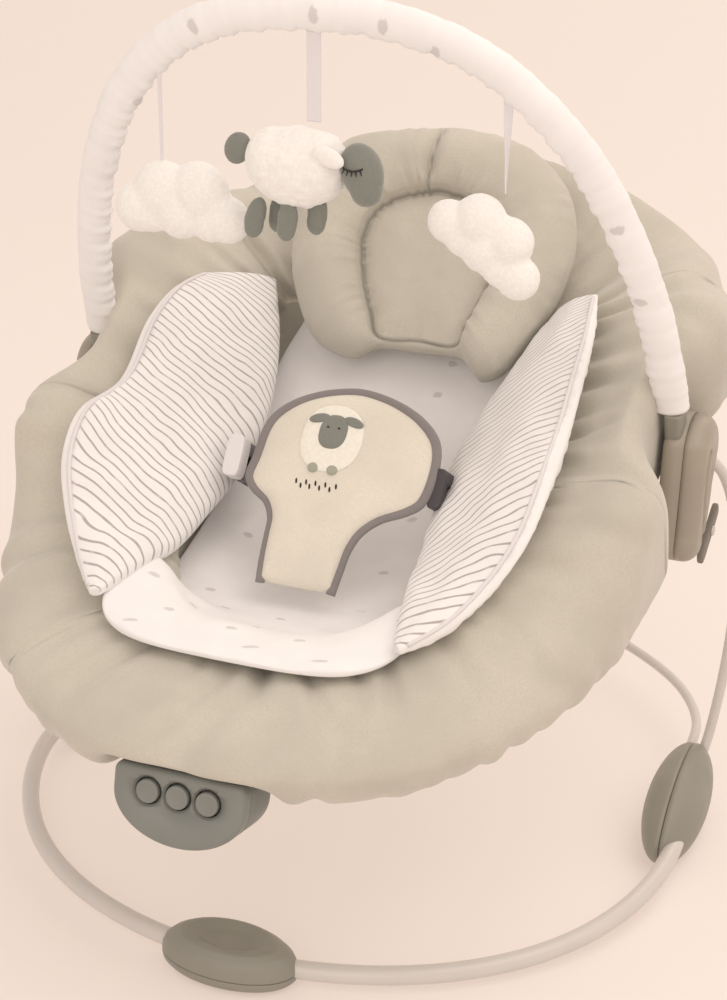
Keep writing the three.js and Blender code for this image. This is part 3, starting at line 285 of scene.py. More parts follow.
class Shader:
    """A material's node tree, with short ways to add its nodes."""

    def __init__(self, name, roughness, **sockets):
        self.material = bpy.data.materials.new(name)
        self.material.use_nodes = True
        self.nodes = self.material.node_tree.nodes
        self.links = self.material.node_tree.links
        self.principled = self.nodes["Principled BSDF"]
        self.principled.inputs["Roughness"].default_value = roughness
        for socket, value in sockets.items():
            self.principled.inputs[socket.replace("_", " ")].default_value = value
        self.place = self.node("ShaderNodeTexCoord").outputs["Object"]

    def node(self, kind, sockets=None, **settings):
        made = self.nodes.new(kind)
        for key, value in settings.items():
            setattr(made, key, value)
        for key, value in (sockets or {}).items():
            if isinstance(value, bpy.types.NodeSocket):
                self.links.new(value, made.inputs[key])
            else:
                made.inputs[key].default_value = value
        return made

    def noise(self, size_mm, detail=2.0, stretch=(1, 1, 1)):
        """Noise with features of about the given size."""
        scaled = self.node("ShaderNodeMapping", {"Vector": self.place, "Scale": stretch})
        sockets = {"Vector": scaled.outputs[0], "Scale": 1 / (size_mm * MM), "Detail": detail}
        return self.node("ShaderNodeTexNoise", sockets).outputs["Fac"]

    def maths(self, operation, a, b=0.0):
        return self.node("ShaderNodeMath", {0: a, 1: b}, operation=operation).outputs[0]

    def between(self, value, low, high, to_low=0.0, to_high=1.0):
        """A value carried smoothly from one range to another."""
        sockets = {"Value": value, "From Min": low, "From Max": high, "To Min": to_low, "To Max": to_high}
        return self.node("ShaderNodeMapRange", sockets, interpolation_type="SMOOTHSTEP").outputs["Result"]

    def mix(self, factor, a, b):
        made = self.node("ShaderNodeMix", {"Factor": factor}, data_type="RGBA")
        for index, value in ((6, a), (7, b)):
            if isinstance(value, bpy.types.NodeSocket):
                self.links.new(value, made.inputs[index])
            else:
                made.inputs[index].default_value = (*value, 1)
        return made.outputs[2]

    def colour(self, value):
        if isinstance(value, bpy.types.NodeSocket):
            self.links.new(value, self.principled.inputs["Base Color"])
        else:
            self.principled.inputs["Base Color"].default_value = (*value, 1)

    def bumps(self, *layers):
        """Layers of (height, strength, depth in millimetres)."""
        normal = None
        for height, strength, depth in layers:
            sockets = {"Height": height, "Strength": strength, "Distance": depth * MM}
            if normal is not None:
                sockets["Normal"] = normal
            normal = self.node("ShaderNodeBump", sockets).outputs["Normal"]
        self.links.new(normal, self.principled.inputs["Normal"])

    def roughness(self, value):
        self.links.new(value, self.principled.inputs["Roughness"])

    def attribute(self, name):
        return self.node("ShaderNodeAttribute", attribute_name=name).outputs["Fac"]


def shade(colour, factor):
    """A colour made lighter or darker."""
    return tuple(min(c * factor, 1) for c in colour)


def velour(name, colour, seams=False):
    """Short pile that is brushed lighter and darker, with sewn seams where a mesh has them: each seam is a
    bump with a dark line of painted shade in its crease.
    """
    s = Shader(name, 0.92, Sheen_Weight=0.35, Sheen_Roughness=0.45)
    blotch = s.between(s.noise(48, 3), 0.3, 0.7)
    pile = s.noise(1.3, 3)
    brushed = s.mix(blotch, shade(colour, 0.93), shade(colour, 1.05))
    worn = s.mix(s.between(pile, 0.3, 0.7), brushed, shade(colour, 0.86))
    pile_and_seam_shade = s.mix(0.45, brushed, worn)
    layers = [(s.noise(9, 3), 0.25, 1.2), (pile, 0.35, 0.5)]
    if seams:
        # Painted shade: the fabric is drawn much darker within 1.5 mm of a seam, as the shade in its crease.
        near = s.between(s.attribute("seam"), 0.0, 1.5, 1.0, 0.0)
        pile_and_seam_shade = s.mix(s.maths("MULTIPLY", near, 0.72), pile_and_seam_shade, shade(colour, 0.3))
        layers.insert(0, (s.between(s.attribute("seam"), 0.0, 3.0), 0.8, 1.5))
    s.colour(pile_and_seam_shade)
    s.bumps(*layers)
    return s.material


def knit(s, colour):
    """Fine knitted cotton: a soft rib and a little unevenness."""
    sockets = {"Vector": s.place, "Scale": 420.0, "Distortion": 1.5}
    rib = s.node("ShaderNodeTexWave", sockets, bands_direction="X")
    return s.mix(s.between(s.noise(26, 3), 0.3, 0.7), shade(colour, 0.965), colour), rib.outputs["Fac"]


def striped_cotton():
    """White knit with thin wavy taupe lines that run across a wing, with a plain edge band."""
    s = Shader("striped_cotton", 0.9, Sheen_Weight=0.12)
    plain, rib = knit(s, (0.84, 0.83, 0.83))
    wave = s.maths("MULTIPLY", s.noise(80, 1), 30.0)
    ripple = s.maths("MULTIPLY", s.noise(24, 1), 6.0)
    place = s.maths("ADD", s.maths("ADD", s.attribute("stripe_place"), wave), ripple)
    line = s.between(s.maths("PINGPONG", place, 3.1), 0.35, 0.85, 1.0, 0.0)
    faded = s.maths("MULTIPLY", line, s.between(s.noise(7, 1), 0.2, 0.5, 0.6, 0.95))
    on_face = s.maths("MULTIPLY", faded, s.attribute("striped"))
    s.colour(s.mix(on_face, plain, (0.40, 0.36, 0.36)))
    s.bumps((s.noise(14, 3), 0.25, 1.5), (rib, 0.12, 0.25), (s.noise(0.9, 2), 0.2, 0.2))
    return s.material


def printed_cotton(name, motif_size=28.0):
    """White knit with sparse small grey motifs, laid out on the mesh's own surface map."""
    s = Shader(name, 0.9, Sheen_Weight=0.12)
    plain, rib = knit(s, (0.87, 0.86, 0.87))
    surface = s.node("ShaderNodeUVMap", uv_map="surface").outputs[0]
    scaled = s.node("ShaderNodeMapping", {"Vector": surface, "Scale": (0.62, 1, 1)})
    sockets = {"Vector": scaled.outputs[0], "Scale": 1 / (motif_size * MM), "Randomness": 0.55}
    cell = s.node("ShaderNodeTexVoronoi", sockets, voronoi_dimensions="2D")
    ragged = s.maths("ADD", cell.outputs["Distance"], s.maths("MULTIPLY", s.noise(3, 1), 0.06))
    spot = s.between(ragged, 0.085, 0.125, 1.0, 0.0)
    chosen = s.between(s.node("ShaderNodeSeparateColor", {0: cell.outputs["Color"]}).outputs[0], 0.34, 0.38)
    s.colour(s.mix(s.maths("MULTIPLY", s.maths("MULTIPLY", spot, chosen), 0.5), plain, (0.45, 0.44, 0.45)))
    s.bumps((s.noise(16, 3), 0.3, 1.6), (rib, 0.12, 0.25), (s.noise(0.9, 2), 0.2, 0.2))
    return s.material


def fleece(name, colour):
    """Looped plush: small curls, with painted shade making the low gaps between them darker."""
    s = Shader(name, 0.95, Sheen_Weight=0.4, Sheen_Roughness=0.5)
    sockets = {"Vector": s.place, "Scale": 420.0, "Randomness": 1.0}
    curls = s.node("ShaderNodeTexVoronoi", sockets).outputs["Distance"]
    # Painted shade: the colour darkens slightly away from each curl's middle, in the low gaps between curls.
    s.colour(s.mix(s.between(curls, 0.15, 0.75), colour, shade(colour, 0.95)))
    s.bumps((curls, -0.3, 0.7), (s.noise(0.7, 3), 0.3, 0.3))
    return s.material


def plastic(name, colour, roughness=0.42):
    """Moulded plastic with a fine spark-eroded grain and slightly uneven gloss."""
    s = Shader(name, roughness, Specular_IOR_Level=0.45)
    s.colour(s.mix(s.between(s.noise(30, 2), 0.3, 0.7), shade(colour, 0.97), shade(colour, 1.03)))
    s.roughness(s.between(s.noise(12, 4), 0.25, 0.75, roughness - 0.05, roughness + 0.08))
    s.bumps((s.noise(0.35, 2), 0.105, 0.05), (s.noise(0.8, 3), 0.07, 0.06))
    return s.material


def painted(name, colour):
    """Powder coat on steel, with a faint orange peel."""
    s = Shader(name, 0.34, Coat_Weight=0.25, Coat_Roughness=0.2)
    s.colour(s.mix(s.between(s.noise(40, 2), 0.3, 0.7), shade(colour, 0.97), colour))
    s.bumps((s.noise(2.2, 2), 0.1, 0.12))
    return s.material


def metal(name, colour, roughness):
    """Bare metal with a faint brushed streak."""
    s = Shader(name, roughness, Metallic=1.0)
    s.colour(s.mix(s.between(s.noise(6, 3), 0.3, 0.7), shade(colour, 0.9), colour))
    s.bumps((s.noise(1.2, 3, stretch=(1, 8, 1)), 0.12, 0.05))
    return s.material


def tape(name, colour):
    """Woven tape with fine ribs, and painted shade in the grooves between them."""
    s = Shader(name, 0.85, Sheen_Weight=0.1)
    sockets = {"Vector": s.place, "Scale": 716.2, "Distortion": 0.4}
    ribs = s.node("ShaderNodeTexWave", sockets, bands_direction="DIAGONAL").outputs["Fac"]
    # Painted shade: the low side of each rib is drawn darker.
    s.colour(s.mix(s.between(ribs, 0.2, 0.9), shade(colour, 0.88), colour))
    s.bumps((ribs, 0.35, 0.3), (s.noise(0.5, 2), 0.2, 0.15))
    return s.material


SAGE = (0.55, 0.525, 0.455)
SAGE_VELOUR = velour("sage_velour", SAGE, seams=True)
SLING_VELOUR = velour("sling_velour", SAGE)
PALE_VELOUR = velour("pale_velour", (0.73, 0.69, 0.60))
CREAM_FLEECE = fleece("cream_fleece", (0.84, 0.82, 0.74))
BINDING = velour("binding", (0.235, 0.215, 0.215))
SAGE_FELT = fleece("sage_felt", (0.36, 0.37, 0.30))
STRIPED = striped_cotton()
PRINTED = printed_cotton("printed_cotton")
SLEEVE_PRINT = printed_cotton("sleeve_print", 40.0)
WHITE_PLUSH = fleece("white_plush", (0.88, 0.87, 0.85))
GREY_PLUSH = fleece("grey_plush", (0.215, 0.225, 0.20))
PLASTIC = plastic("sage_plastic", (0.27, 0.262, 0.225))
UNIT_PLASTIC = plastic("unit_plastic", (0.205, 0.215, 0.20))
HUB_PLASTIC = plastic("hub_plastic", (0.35, 0.315, 0.26), 0.36)
DARK_PLASTIC = plastic("dark_plastic", (0.055, 0.05, 0.056), 0.4)
TAB_PLASTIC = plastic("tab_plastic", (0.20, 0.18, 0.155), 0.5)
RUBBER = plastic("rubber", (0.07, 0.068, 0.065), 0.75)
WHITE_METAL = painted("white_metal", (0.63, 0.60, 0.575))
STEEL = metal("steel", (0.62, 0.61, 0.6), 0.32)
BOARD = plastic("circuit_board", (0.04, 0.13, 0.07), 0.35)
CELL = painted("battery_cell", (0.10, 0.10, 0.12))
WHITE_TAPE = tape("white_tape", (0.80, 0.78, 0.80))
DARK_THREAD = plastic("dark_thread", (0.03, 0.028, 0.03), 0.8)

# ------------------------------------------------------------------ the base: tubes, wires and feet

def front_tube_path(count=260):
    """The base tube's path: half an oval that climbs a little into the side feet."""
    angle = np.linspace(0, np.pi, 19)
    side = np.cos(angle)
    height = BASE_TUBE_HEIGHT + 8 * side**8
    points = np.stack([BASE_HALF_WIDTH * side, -BASE_FRONT * np.sin(angle), height], -1)
    end = np.array([[BASE_HALF_WIDTH, 26, 21]])
    return smooth_curve(np.concatenate([end, points, sided(end, -1)]), count)


def rear_wire_path(count=200):
    """The rear wire's path, from one side foot round the back to the other."""
    x = FOOT.x - 5
    z = REAR_WIRE_HEIGHT
    half = np.array([[x, 92, 30], [x, 112, 35], [212, 150, z], [188, 197, z], [135, 245, z], [70, 279, z]])
    return smooth_curve(np.concatenate([half, [[0, 291, z]], sided(half, -1)[::-1]]), count)


def leg_path(count=90):
    """The right leg wire's path, from its foot up to its hub."""
    x = FOOT.x + 5
    foot_end = [[x, 99, 34], [x + 3, 111, 53], [234.5, 118, 105]]
    hub_end = [[237.5, 113, 165], [235.5, 98, 222], [227.5, 80, 262], [218, 68, 278]]
    return smooth_curve(foot_end + hub_end, count)


def base_tubes():
    """The bent base tube, the rear wire and the two springy leg wires."""
    front = tube("base_tube", front_tube_path(), BASE_TUBE_RADIUS, sides=28)
    finish_piece(front, "base", WHITE_METAL, ["front_base_tube"])
    rear = tube("rear_wire", rear_wire_path(), WIRE_RADIUS, sides=20)
    finish_piece(rear, "base", WHITE_METAL, ["rear_base_wire"])

    def leg(side, sign):
        path = sided(leg_path(), sign)
        wire = tube(f"leg_{side}", path, WIRE_RADIUS, sides=20)
        finish_piece(wire, "seat", WHITE_METAL, [f"leg_wire_{side}"])

    both_sides(leg)


def egg_loops(half, rows=40, sides=72):
    """Half an egg from its seam plane out to its tip along X, as loops. half is +1 for the outer half."""
    width, length, height = 21, 57, 28
    seam = 0.35
    tall = np.linspace(0, np.pi / 2, rows)
    x = half * (seam + (width - seam) * np.sin(tall))
    size = np.cos(tall)
    size[-1] = 0.004
    angle = full_turn(sides)
    groove = np.where(tall < 0.06, 0.985, 1.0)[:, None]
    y = length * size[:, None] * groove * np.cos(angle)
    z = height * size[:, None] * groove * np.sin(angle)
    lean = 0.16
    leaned_y = y * math.cos(lean) - z * math.sin(lean)
    leaned_z = y * math.sin(lean) + z * math.cos(lean)
    standing = np.maximum(FOOT.z + leaned_z, 2.4)
    return np.stack([np.repeat(x[:, None], sides, 1) + FOOT.x, leaned_y + FOOT.y, standing], -1)


def cut_away(obj, *cutters):
    """Takes the cutters out of a piece and removes them."""
    for cutter in cutters:
        modify(obj, "BOOLEAN", operation="DIFFERENCE", object=cutter, solver="EXACT")
        bpy.data.objects.remove(cutter)


def side_feet():
    """The egg-shaped side feet, each in two shells with an opening for the leg wire."""
    def foot(side, sign):
        for name, half in (("outer", 1), ("inner", -1)):
            shell = loft(f"foot_{side}_{name}", sided(egg_loops(half), sign))
            opening = tube("opening", sided(leg_path()[:24], sign), WIRE_RADIUS + 2.2, sides=24)
            cut_away(shell, opening)
            finish_piece(shell, "base", PLASTIC, [f"side_foot_{side}_{name}"])

    both_sides(foot)


def front_foot():
    """The oval front foot: a dished cover over a tray."""
    rim, top, seam, bottom = FRONT_FOOT_DEPTH, 27, BASE_TUBE_HEIGHT - 1, 2.4
    dished = [(0, 4), (0.2, 3.9), (0.38, 3), (0.48, 1.4), (0.56, 0.2)]
    dished += [(0.62, 0), (0.72, 1), (0.84, 4), (0.94, 8)]
    cover = [[rim * share, top - below] for share, below in dished]
    cover += [[rim * 0.99, seam + 4], [rim, seam + 1.2], [rim * 0.985, seam + 0.3], [0, seam + 0.3]]
    tray = [[0, seam], [rim * 0.985, seam], [rim, seam - 0.8], [rim * 0.99, bottom + 4]]
    tray += [[rim * 0.93, bottom + 1.4], [rim * 0.82, bottom], [0, bottom]]
    stretch = Matrix.Translation((0, -BASE_FRONT, 0)) @ Matrix.Diagonal((FRONT_FOOT_LENGTH / rim, 1, 1, 1))
    for name, profile in (("top", cover), ("bottom", tray)):
        piece = loft(f"front_foot_{name}_shell", moved(turned(profile, 96, 90), stretch))
        finish_piece(piece, "base", PLASTIC, [f"front_foot_{name}"])


# ------------------------------------------------------------------ hubs, plugs and tabs

def hub_outline(inset, sides=120):
    """The hub's teardrop outline in Y and Z, drawn inwards by a distance."""
    (ty, tz, tr), (by, bz, br) = HUB_TOP, HUB_BOTTOM
    along = math.atan2(tz - bz, ty - by)
    spread_angle = math.acos((br - tr) / math.hypot(ty - by, tz - bz))
    upper = np.linspace(along - math.pi + spread_angle, along + math.pi - spread_angle, sides * 2 // 3)
    lower = np.linspace(along + math.pi - spread_angle, along + math.pi + spread_angle, sides // 3 + 2)[1:-1]
    wide, narrow = tr - inset, max(br - inset, 0.5)
    top = np.stack([ty + wide * np.cos(upper), tz + wide * np.sin(upper)], -1)
    bottom = np.stack([by + narrow * np.cos(lower), bz + narrow * np.sin(lower)], -1)
    return spread(np.concatenate([top, bottom, top[:1]]), sides + 1)[:-1]


def leaf_height(y, z):
    """A leaf-shaped panel that stands a little proud of the hub's cover, with a groove round it."""
    up = (z - 260) / 30
    middle = 49 + 3.5 * np.cos(up * 1.4) - 1.5
    half = 8.5 * np.clip(1 - up**2, 0, 1) ** 0.75
    edge = half - np.abs(y - middle)
    groove = -0.9 * np.exp(-((edge / 1.3) ** 2)) * (half > 0.5)
    return groove + 0.8 * smoothstep(0, 2.5, edge)


def hubs():
    """The hubs' domed outer covers and their inner shells."""
    dome = 11
    outside = []
    for angle in np.linspace(0, np.pi / 2, 14):
        outside.append((dome * (1 - math.cos(angle)), HUB_OUTER_X - dome + dome * math.sin(angle)))
    for inset in np.linspace(11.5, 26.5, 26):
        outside.append((inset, HUB_OUTER_X + 0.25 * math.sin((inset - dome) / 4)))
    cover_rows = [(0, HUB_SPLIT_X + 0.2), *outside]
    rounding = [(0, 4), (0.8, 1.6), (2.2, 0.4), (4, 0), (12, 0)]
    inner_rows = [(0, HUB_SPLIT_X - 0.2), *((inset, HUB_INNER_X + above) for inset, above in rounding)]

    def rows_to_loops(rows):
        loops = []
        for inset, x in rows:
            outline = hub_outline(inset)
            loops.append(np.concatenate([np.full((len(outline), 1), x), outline], 1))
        return np.array(loops)

    def hub(side, sign):
        cover = rows_to_loops(cover_rows)
        top = cover[:, :, 0] > HUB_OUTER_X - 3
        cover[:, :, 0] += np.where(top, leaf_height(cover[:, :, 1], cover[:, :, 2]), 0)
        for name, loops in (("outer", cover), ("inner", rows_to_loops(inner_rows))):
            piece = loft(f"hub_{side}_{name}_shell", sided(loops, sign))
            finish_piece(piece, "seat", HUB_PLASTIC, [f"hub_{side}_{name}"])

    both_sides(hub)


def rounded_loop(half_x, half_y, corner, sides=48):
    """A rectangle with rounded corners, as points round it."""
    angle = full_turn(sides)
    power = 2 / corner
    x = half_x * signed_power(np.cos(angle), power)
    y = half_y * signed_power(np.sin(angle), power)
    return np.stack([x, y], -1)


def soft_box(half_x, half_y, low, high, corner, edge):
    """Loops of a box with rounded sides and edges, standing along Z."""
    rows = []
    for angle in np.linspace(0, np.pi / 2, 6):
        rows.append((edge * (1 - math.sin(angle)), low + edge * (1 - math.cos(angle))))
    for angle in np.linspace(np.pi / 2, 0, 6):
        rows.append((edge * (1 - math.sin(angle)), high - edge * (1 - math.cos(angle))))
    return np.array([at_height(rounded_loop(half_x - inset, half_y - inset, corner), z) for inset, z in rows])


def bar_point(angle):
    """A point of the toy bar's centreline, which is a squarish arch."""
    power = 2 / BAR_ROUNDNESS
    x = BAR_HALF_WIDTH * signed_power(np.cos(angle), power)
    up = BAR_HEIGHT * np.abs(np.sin(angle)) ** power
    return np.array([1, 0, 0]) * x[..., None] + np.array(BAR_BASE) + up[..., None] * np.array(BAR_UP)


def bar_path(from_height, count):
    """The toy bar's centreline above a height, from right to left."""
    start = math.asin((from_height / BAR_HEIGHT) ** (BAR_ROUNDNESS / 2))
    return spread(bar_point(np.linspace(start, np.pi - start, 600)), count)


def plugs():
    """The toy bar's end plugs, which stand in the hubs."""
    shows, inserted = 15, 26
    length = shows + inserted
    end = bar_path(SLEEVE_STARTS, 10)[0] - np.array(BAR_UP) * (length + 1) + np.array([2, 0, 0])
    place = Matrix.Translation(end) @ Matrix.Rotation(BAR_LEAN, 4, "X")

    def plug(side, sign):
        loops = sided(moved(soft_box(6, 9, 0, length + 0.6, 4, 1.2), place), sign)
        piece = loft(f"plug_{side}", loops)
        finish_piece(piece, "toy_bar", PLASTIC, [f"toy_bar_plug_{side}"])

    both_sides(plug)


def tabs():
    """The fastening tabs beside the hubs, each with a press stud."""
    tilt = Matrix.Rotation(math.radians(26), 4, "X") @ Matrix.Rotation(math.radians(90), 4, "Y")
    place = Matrix.Translation((221, 80, 218)) @ tilt

    def tab(side, sign):
        strap = soft_box(5.6, 24, -2, 2, 5, 1.2)
        strap[:, :, 1] += 0.5
        body = loft(f"tab_{side}", sided(moved(strap, place), sign))
        finish_piece(body, "seat", TAB_PLASTIC, [f"fastening_tab_{side}"])
        stud = turned([[0, 2], [3.4, 2], [3.4, 3.2], [2.6, 3.8], [0, 3.4]], 32, 20) + np.array([0, 3, 0])
        snap = loft(f"tab_stud_{side}", sided(moved(stud, place), sign))
        finish_piece(snap, "seat", WHITE_METAL)

    both_sides(tab)


# ------------------------------------------------------------------ the padded ring

def seat_height(y):
    """The height of the ring's centreline, which rises towards the head end."""
    away = y - SEAT_WIDEST_Y
    return SEAT_MIDDLE_Z + SEAT_RISE * away + SEAT_CURVE * away * away


def ring_point(angle):
    """A point of the ring's centreline, a rounded oblong in plan."""
    power = 2 / SEAT_ROUNDNESS
    reach = np.where(np.sin(angle) < 0, SEAT_FOOT_REACH, SEAT_HEAD_REACH)
    x = SEAT_HALF_WIDTH * signed_power(np.cos(angle), power)
    y = SEAT_WIDEST_Y + reach * signed_power(np.sin(angle), power)
    return np.stack([x, y, seat_height(y)], -1)


def ring_top(y):
    """How far the ring stands above its centreline, less at both ends."""
    foot_centre, head_centre = SEAT_WIDEST_Y - SEAT_FOOT_REACH, SEAT_WIDEST_Y + SEAT_HEAD_REACH
    foot = 1 - smoothstep(foot_centre, foot_centre + 150, y)
    head = smoothstep(head_centre - 70, head_centre - 15, y)
    return RING_TOP - (RING_TOP - RING_TOP_AT_FOOT) * foot - (RING_TOP - RING_TOP_AT_HEAD) * head


def hub_closeness(middles):
    """1 beside a hub, 0 away from it."""
    from_hub = (middles[:, 1] - (HUB_TOP[0] + HUB_BOTTOM[0]) / 2) / 46
    return np.exp(-(from_hub**4)) * (np.abs(middles[:, 0]) > SEAT_HALF_WIDTH / 2)


CREASES = [  # how many, their middle angle round the section, reach round it, width, depth and slant
    (70, 2.5, 0.8, 5.0, 3.8, 9),
    (34, 1.5, 0.7, 6, 3.0, 16),
    (16, 0.7, 0.8, 8, 3.0, 26),
    (110, -0.7, 0.55, 4.0, 2.0, 3),
]
HEAD_CREASES = (26, 2.0, 1.0, 8, 4.5, 10)


def creases(arc, round_angle, total, count, where, reach, width, depth, slant):
    """Soft folds across the ring, each at a random place along it."""
    lift = np.zeros_like(arc)
    for start in (np.arange(count) + RANDOM.uniform(-0.4, 0.4, count)) * total / count:
        w = width * RANDOM.uniform(0.7, 1.4)
        d = depth * RANDOM.uniform(0.3, 1.3)
        middle = where + RANDOM.uniform(-0.25, 0.25)
        lean = slant * RANDOM.uniform(-1, 1)
        around = (round_angle - middle + np.pi) % (2 * np.pi) - np.pi
        along = (arc - start - lean * around + total / 2) % total - total / 2
        fade = np.exp(-((around / (reach * RANDOM.uniform(0.7, 1.3))) ** 4))
        valley = np.exp(-((along / w) ** 2)) - 0.45 * np.exp(-(((np.abs(along) - 2 * w) / (1.2 * w)) ** 2))
        lift -= d * valley * fade
    return lift


def over_unit(points):
    """Lifts the ring's underside over the vibration unit's case, so that the fabric lies on it."""
    turn = vibrator_matrix().inverted()
    local = moved(points, turn)
    across = 1 - smoothstep(VIBRATOR_HALF_WIDTH + 2, VIBRATOR_HALF_WIDTH + 16, np.abs(local[..., 0]))
    deep = smoothstep(-VIBRATOR_DEPTH - 34, -VIBRATOR_DEPTH - 20, local[..., 2])
    roof = VIBRATOR_ABOVE + 2.5
    lift = np.clip(roof - local[..., 1], 0, None) * across * deep
    local[..., 1] += lift
    local[..., 2] = np.where(lift > 0, np.minimum(local[..., 2], 1.5 + lift * 0.1), local[..., 2])
    return moved(local, vibrator_matrix())


def ring_stations(rows):
    """Points evenly spread along the ring's centreline, and the directions out from it and up from it."""
    fine = np.concatenate([ring_point(full_turn(3000)), ring_point(np.array([0.0]))])
    middles = spread(fine, rows + 1)[:-1]
    tangents = unit(np.roll(middles, -1, 0) - np.roll(middles, 1, 0))
    slope = SEAT_RISE + 2 * SEAT_CURVE * (middles[:, 1] - SEAT_WIDEST_Y)
    up = unit(np.stack([np.zeros(rows), -slope, np.ones(rows)], -1))
    out = unit(np.cross(tangents, up))
    return middles, out, np.cross(out, tangents)


def ring_cover():
    """The ring's gathered cover: wide and banked at the sides, and pinched beside the hubs."""
    rows, sides = 380, 64
    middles, out, lift = ring_stations(rows)
    step = np.linalg.norm(np.roll(middles, -1, 0) - middles, axis=1)
    arc_line = np.concatenate([[0], np.cumsum(step)[:-1]])
    total = step.sum()
    angle = full_turn(sides)
    c, s = np.cos(angle)[None], np.sin(angle)[None]
    top = ring_top(middles[:, 1])[:, None]
    tall = np.where(s > 0, top, RING_BOTTOM)
    closeness = hub_closeness(middles)[:, None]
    beside = smoothstep(110, 150, np.abs(middles[:, 0])) * smoothstep(-90, -30, middles[:, 1])
    beside = (beside * (1 - smoothstep(110, 160, middles[:, 1])))[:, None]
    boxy = 1 - 0.6 * np.maximum(closeness, beside) * (c > 0) * (s > 0)
    c, s = signed_power(c, boxy), signed_power(s, boxy)
    tall = tall + 13 * beside * (s > 0)
    width = RING_HALF_WIDTH - RING_PINCH * closeness * (c > 0)
    arc = np.repeat(arc_line[:, None], sides, 1)
    round_angle = np.repeat(angle[None], rows, 0)

    side_share = smoothstep(70, 140, np.abs(middles[:, 0])) * (1 - smoothstep(150, 190, middles[:, 1]))
    side_share = (side_share * smoothstep(-90, -20, middles[:, 1]))[:, None]
    bank = RING_BANK * side_share * smoothstep(-0.5, 0.6, c) * np.clip(s, 0, 1) ** 0.7
    puff = sum(creases(arc, round_angle, total, *kind) for kind in CREASES)
    at_head = smoothstep(120, 160, middles[:, 1])[:, None]
    puff += at_head * creases(arc, round_angle, total, *HEAD_CREASES)
    smooth = middles[:, None] + out[:, None] * (width * c)[..., None] + lift[:, None] * (tall * s)[..., None]
    puff += 2.6 * lumps(smooth, 60, 1) + 1.0 * lumps(smooth, 22, 2)
    puff *= 1 - 0.85 * closeness * (c > 0.2)  # calmer where the hub presses on it
    outwards, upwards = (c * RING_BOTTOM)[..., None], (s * RING_HALF_WIDTH)[..., None]
    radial = unit(out[:, None] * outwards + lift[:, None] * upwards)
    points = over_unit(smooth + radial * puff[..., None] + lift[:, None] * bank[..., None])
    cover = loft("ring_cover", points, runs_round=True)
    seams = np.full(arc.shape, NO_SEAM)
    for place in RING_SEAMS:
        bend = 9 * np.sin(round_angle + place)
        seams = np.minimum(seams, np.abs((arc - place * total - bend + total / 2) % total - total / 2))
    set_values(cover, "seam", seams)
    subdivide(cover)
    finish_piece(cover, "seat", SAGE_VELOUR, ["seat_ring"])


# ------------------------------------------------------------------ sling and insert

BUCKET = [(-196, 219), (-172, 218), (-150, 210), (-110, 202), (-60, 200),
          (0, 213), (40, 238), (80, 272), (113, 303), (138, 326)]  # Y and height of the lining's middle
LINING_TO_SLING = 14


def bucket_height(y):
    """The height of the lining along its middle."""
    line = smooth_curve([(0, a, b) for a, b in BUCKET], 300)
    return np.interp(y, line[:, 1], line[:, 2])


def nearest_on_ring(x, y):
    """The nearest point of the ring's centreline, and how far it is in plan, in half widths of the ring."""
    scan = ring_point(full_turn(720))
    gap = np.hypot(x[..., None] - scan[:, 0], y[..., None] - scan[:, 1])
    return scan[gap.argmin(-1)], gap.min(-1) / RING_HALF_WIDTH


def ring_top_at(x, y):
    """The height of the ring's upper side, which falls away steeply beside it."""
    nearest, share = nearest_on_ring(x, y)
    above = ring_top(nearest[..., 1]) * np.sqrt(np.clip(1 - share**2, 0, 1))
    return seat_height(y) + np.where(share < 1, above, 40 * (1 - share))


def lining_height(x, y):
    """The height of the lining, low in the middle and up to the ring's centreline at its sides."""
    middle = bucket_height(y)
    edge = SEAT_HALF_WIDTH - RING_HALF_WIDTH
    return middle + np.maximum(seat_height(y) - middle, 0) * (np.abs(x) / edge) ** 2.2


def inside_half_width(y):
    """Half the width of the sling, a little into the ring."""
    reach = np.where(y < SEAT_WIDEST_Y, SEAT_FOOT_REACH, SEAT_HEAD_REACH) - RING_HALF_WIDTH
    share = np.minimum(np.abs(y - SEAT_WIDEST_Y) / reach, 0.98)
    return (SEAT_HALF_WIDTH - RING_HALF_WIDTH) * (1 - share**SEAT_ROUNDNESS) ** (1 / SEAT_ROUNDNESS) + 16


def puffed_sheet(y_line, half_width, height_at, thickness, taper):
    """Loops of a soft sheet, row by row from the foot end. taper is each row's share of its thickness."""
    sides = 72
    angle = full_turn(sides)
    across = signed_power(np.cos(angle), 0.8)
    thick = signed_power(np.sin(angle), 0.5)
    x = half_width[:, None] * across[None]
    y = np.repeat(y_line[:, None], sides, 1)
    z = height_at(x, y) - thickness / 2 + thickness / 2 * taper[:, None] * thick[None]
    return np.stack([x, y, z], -1), np.repeat(thick[None], len(y_line), 0)


def surface_map(obj, loops):
    """A UV map in metres: across and along the surface."""
    middles = loops.mean(1)
    round_length = np.cumsum(np.linalg.norm(np.diff(loops, axis=1, prepend=loops[:, :1]), axis=2), axis=1)
    along_length = np.cumsum(np.linalg.norm(np.diff(middles, axis=0, prepend=middles[:1]), axis=1))
    along_length = np.repeat(along_length[:, None], loops.shape[1], 1)
    flat = np.stack([round_length, along_length], -1).reshape(-1, 2) * MM
    flat = np.concatenate([flat, np.zeros((len(obj.data.vertices) - len(flat), 2))])
    layer = obj.data.uv_layers.new(name="surface")
    corners = np.zeros(len(obj.data.loops), int)
    obj.data.loops.foreach_get("vertex_index", corners)
    layer.data.foreach_set("uv", flat[corners].ravel())


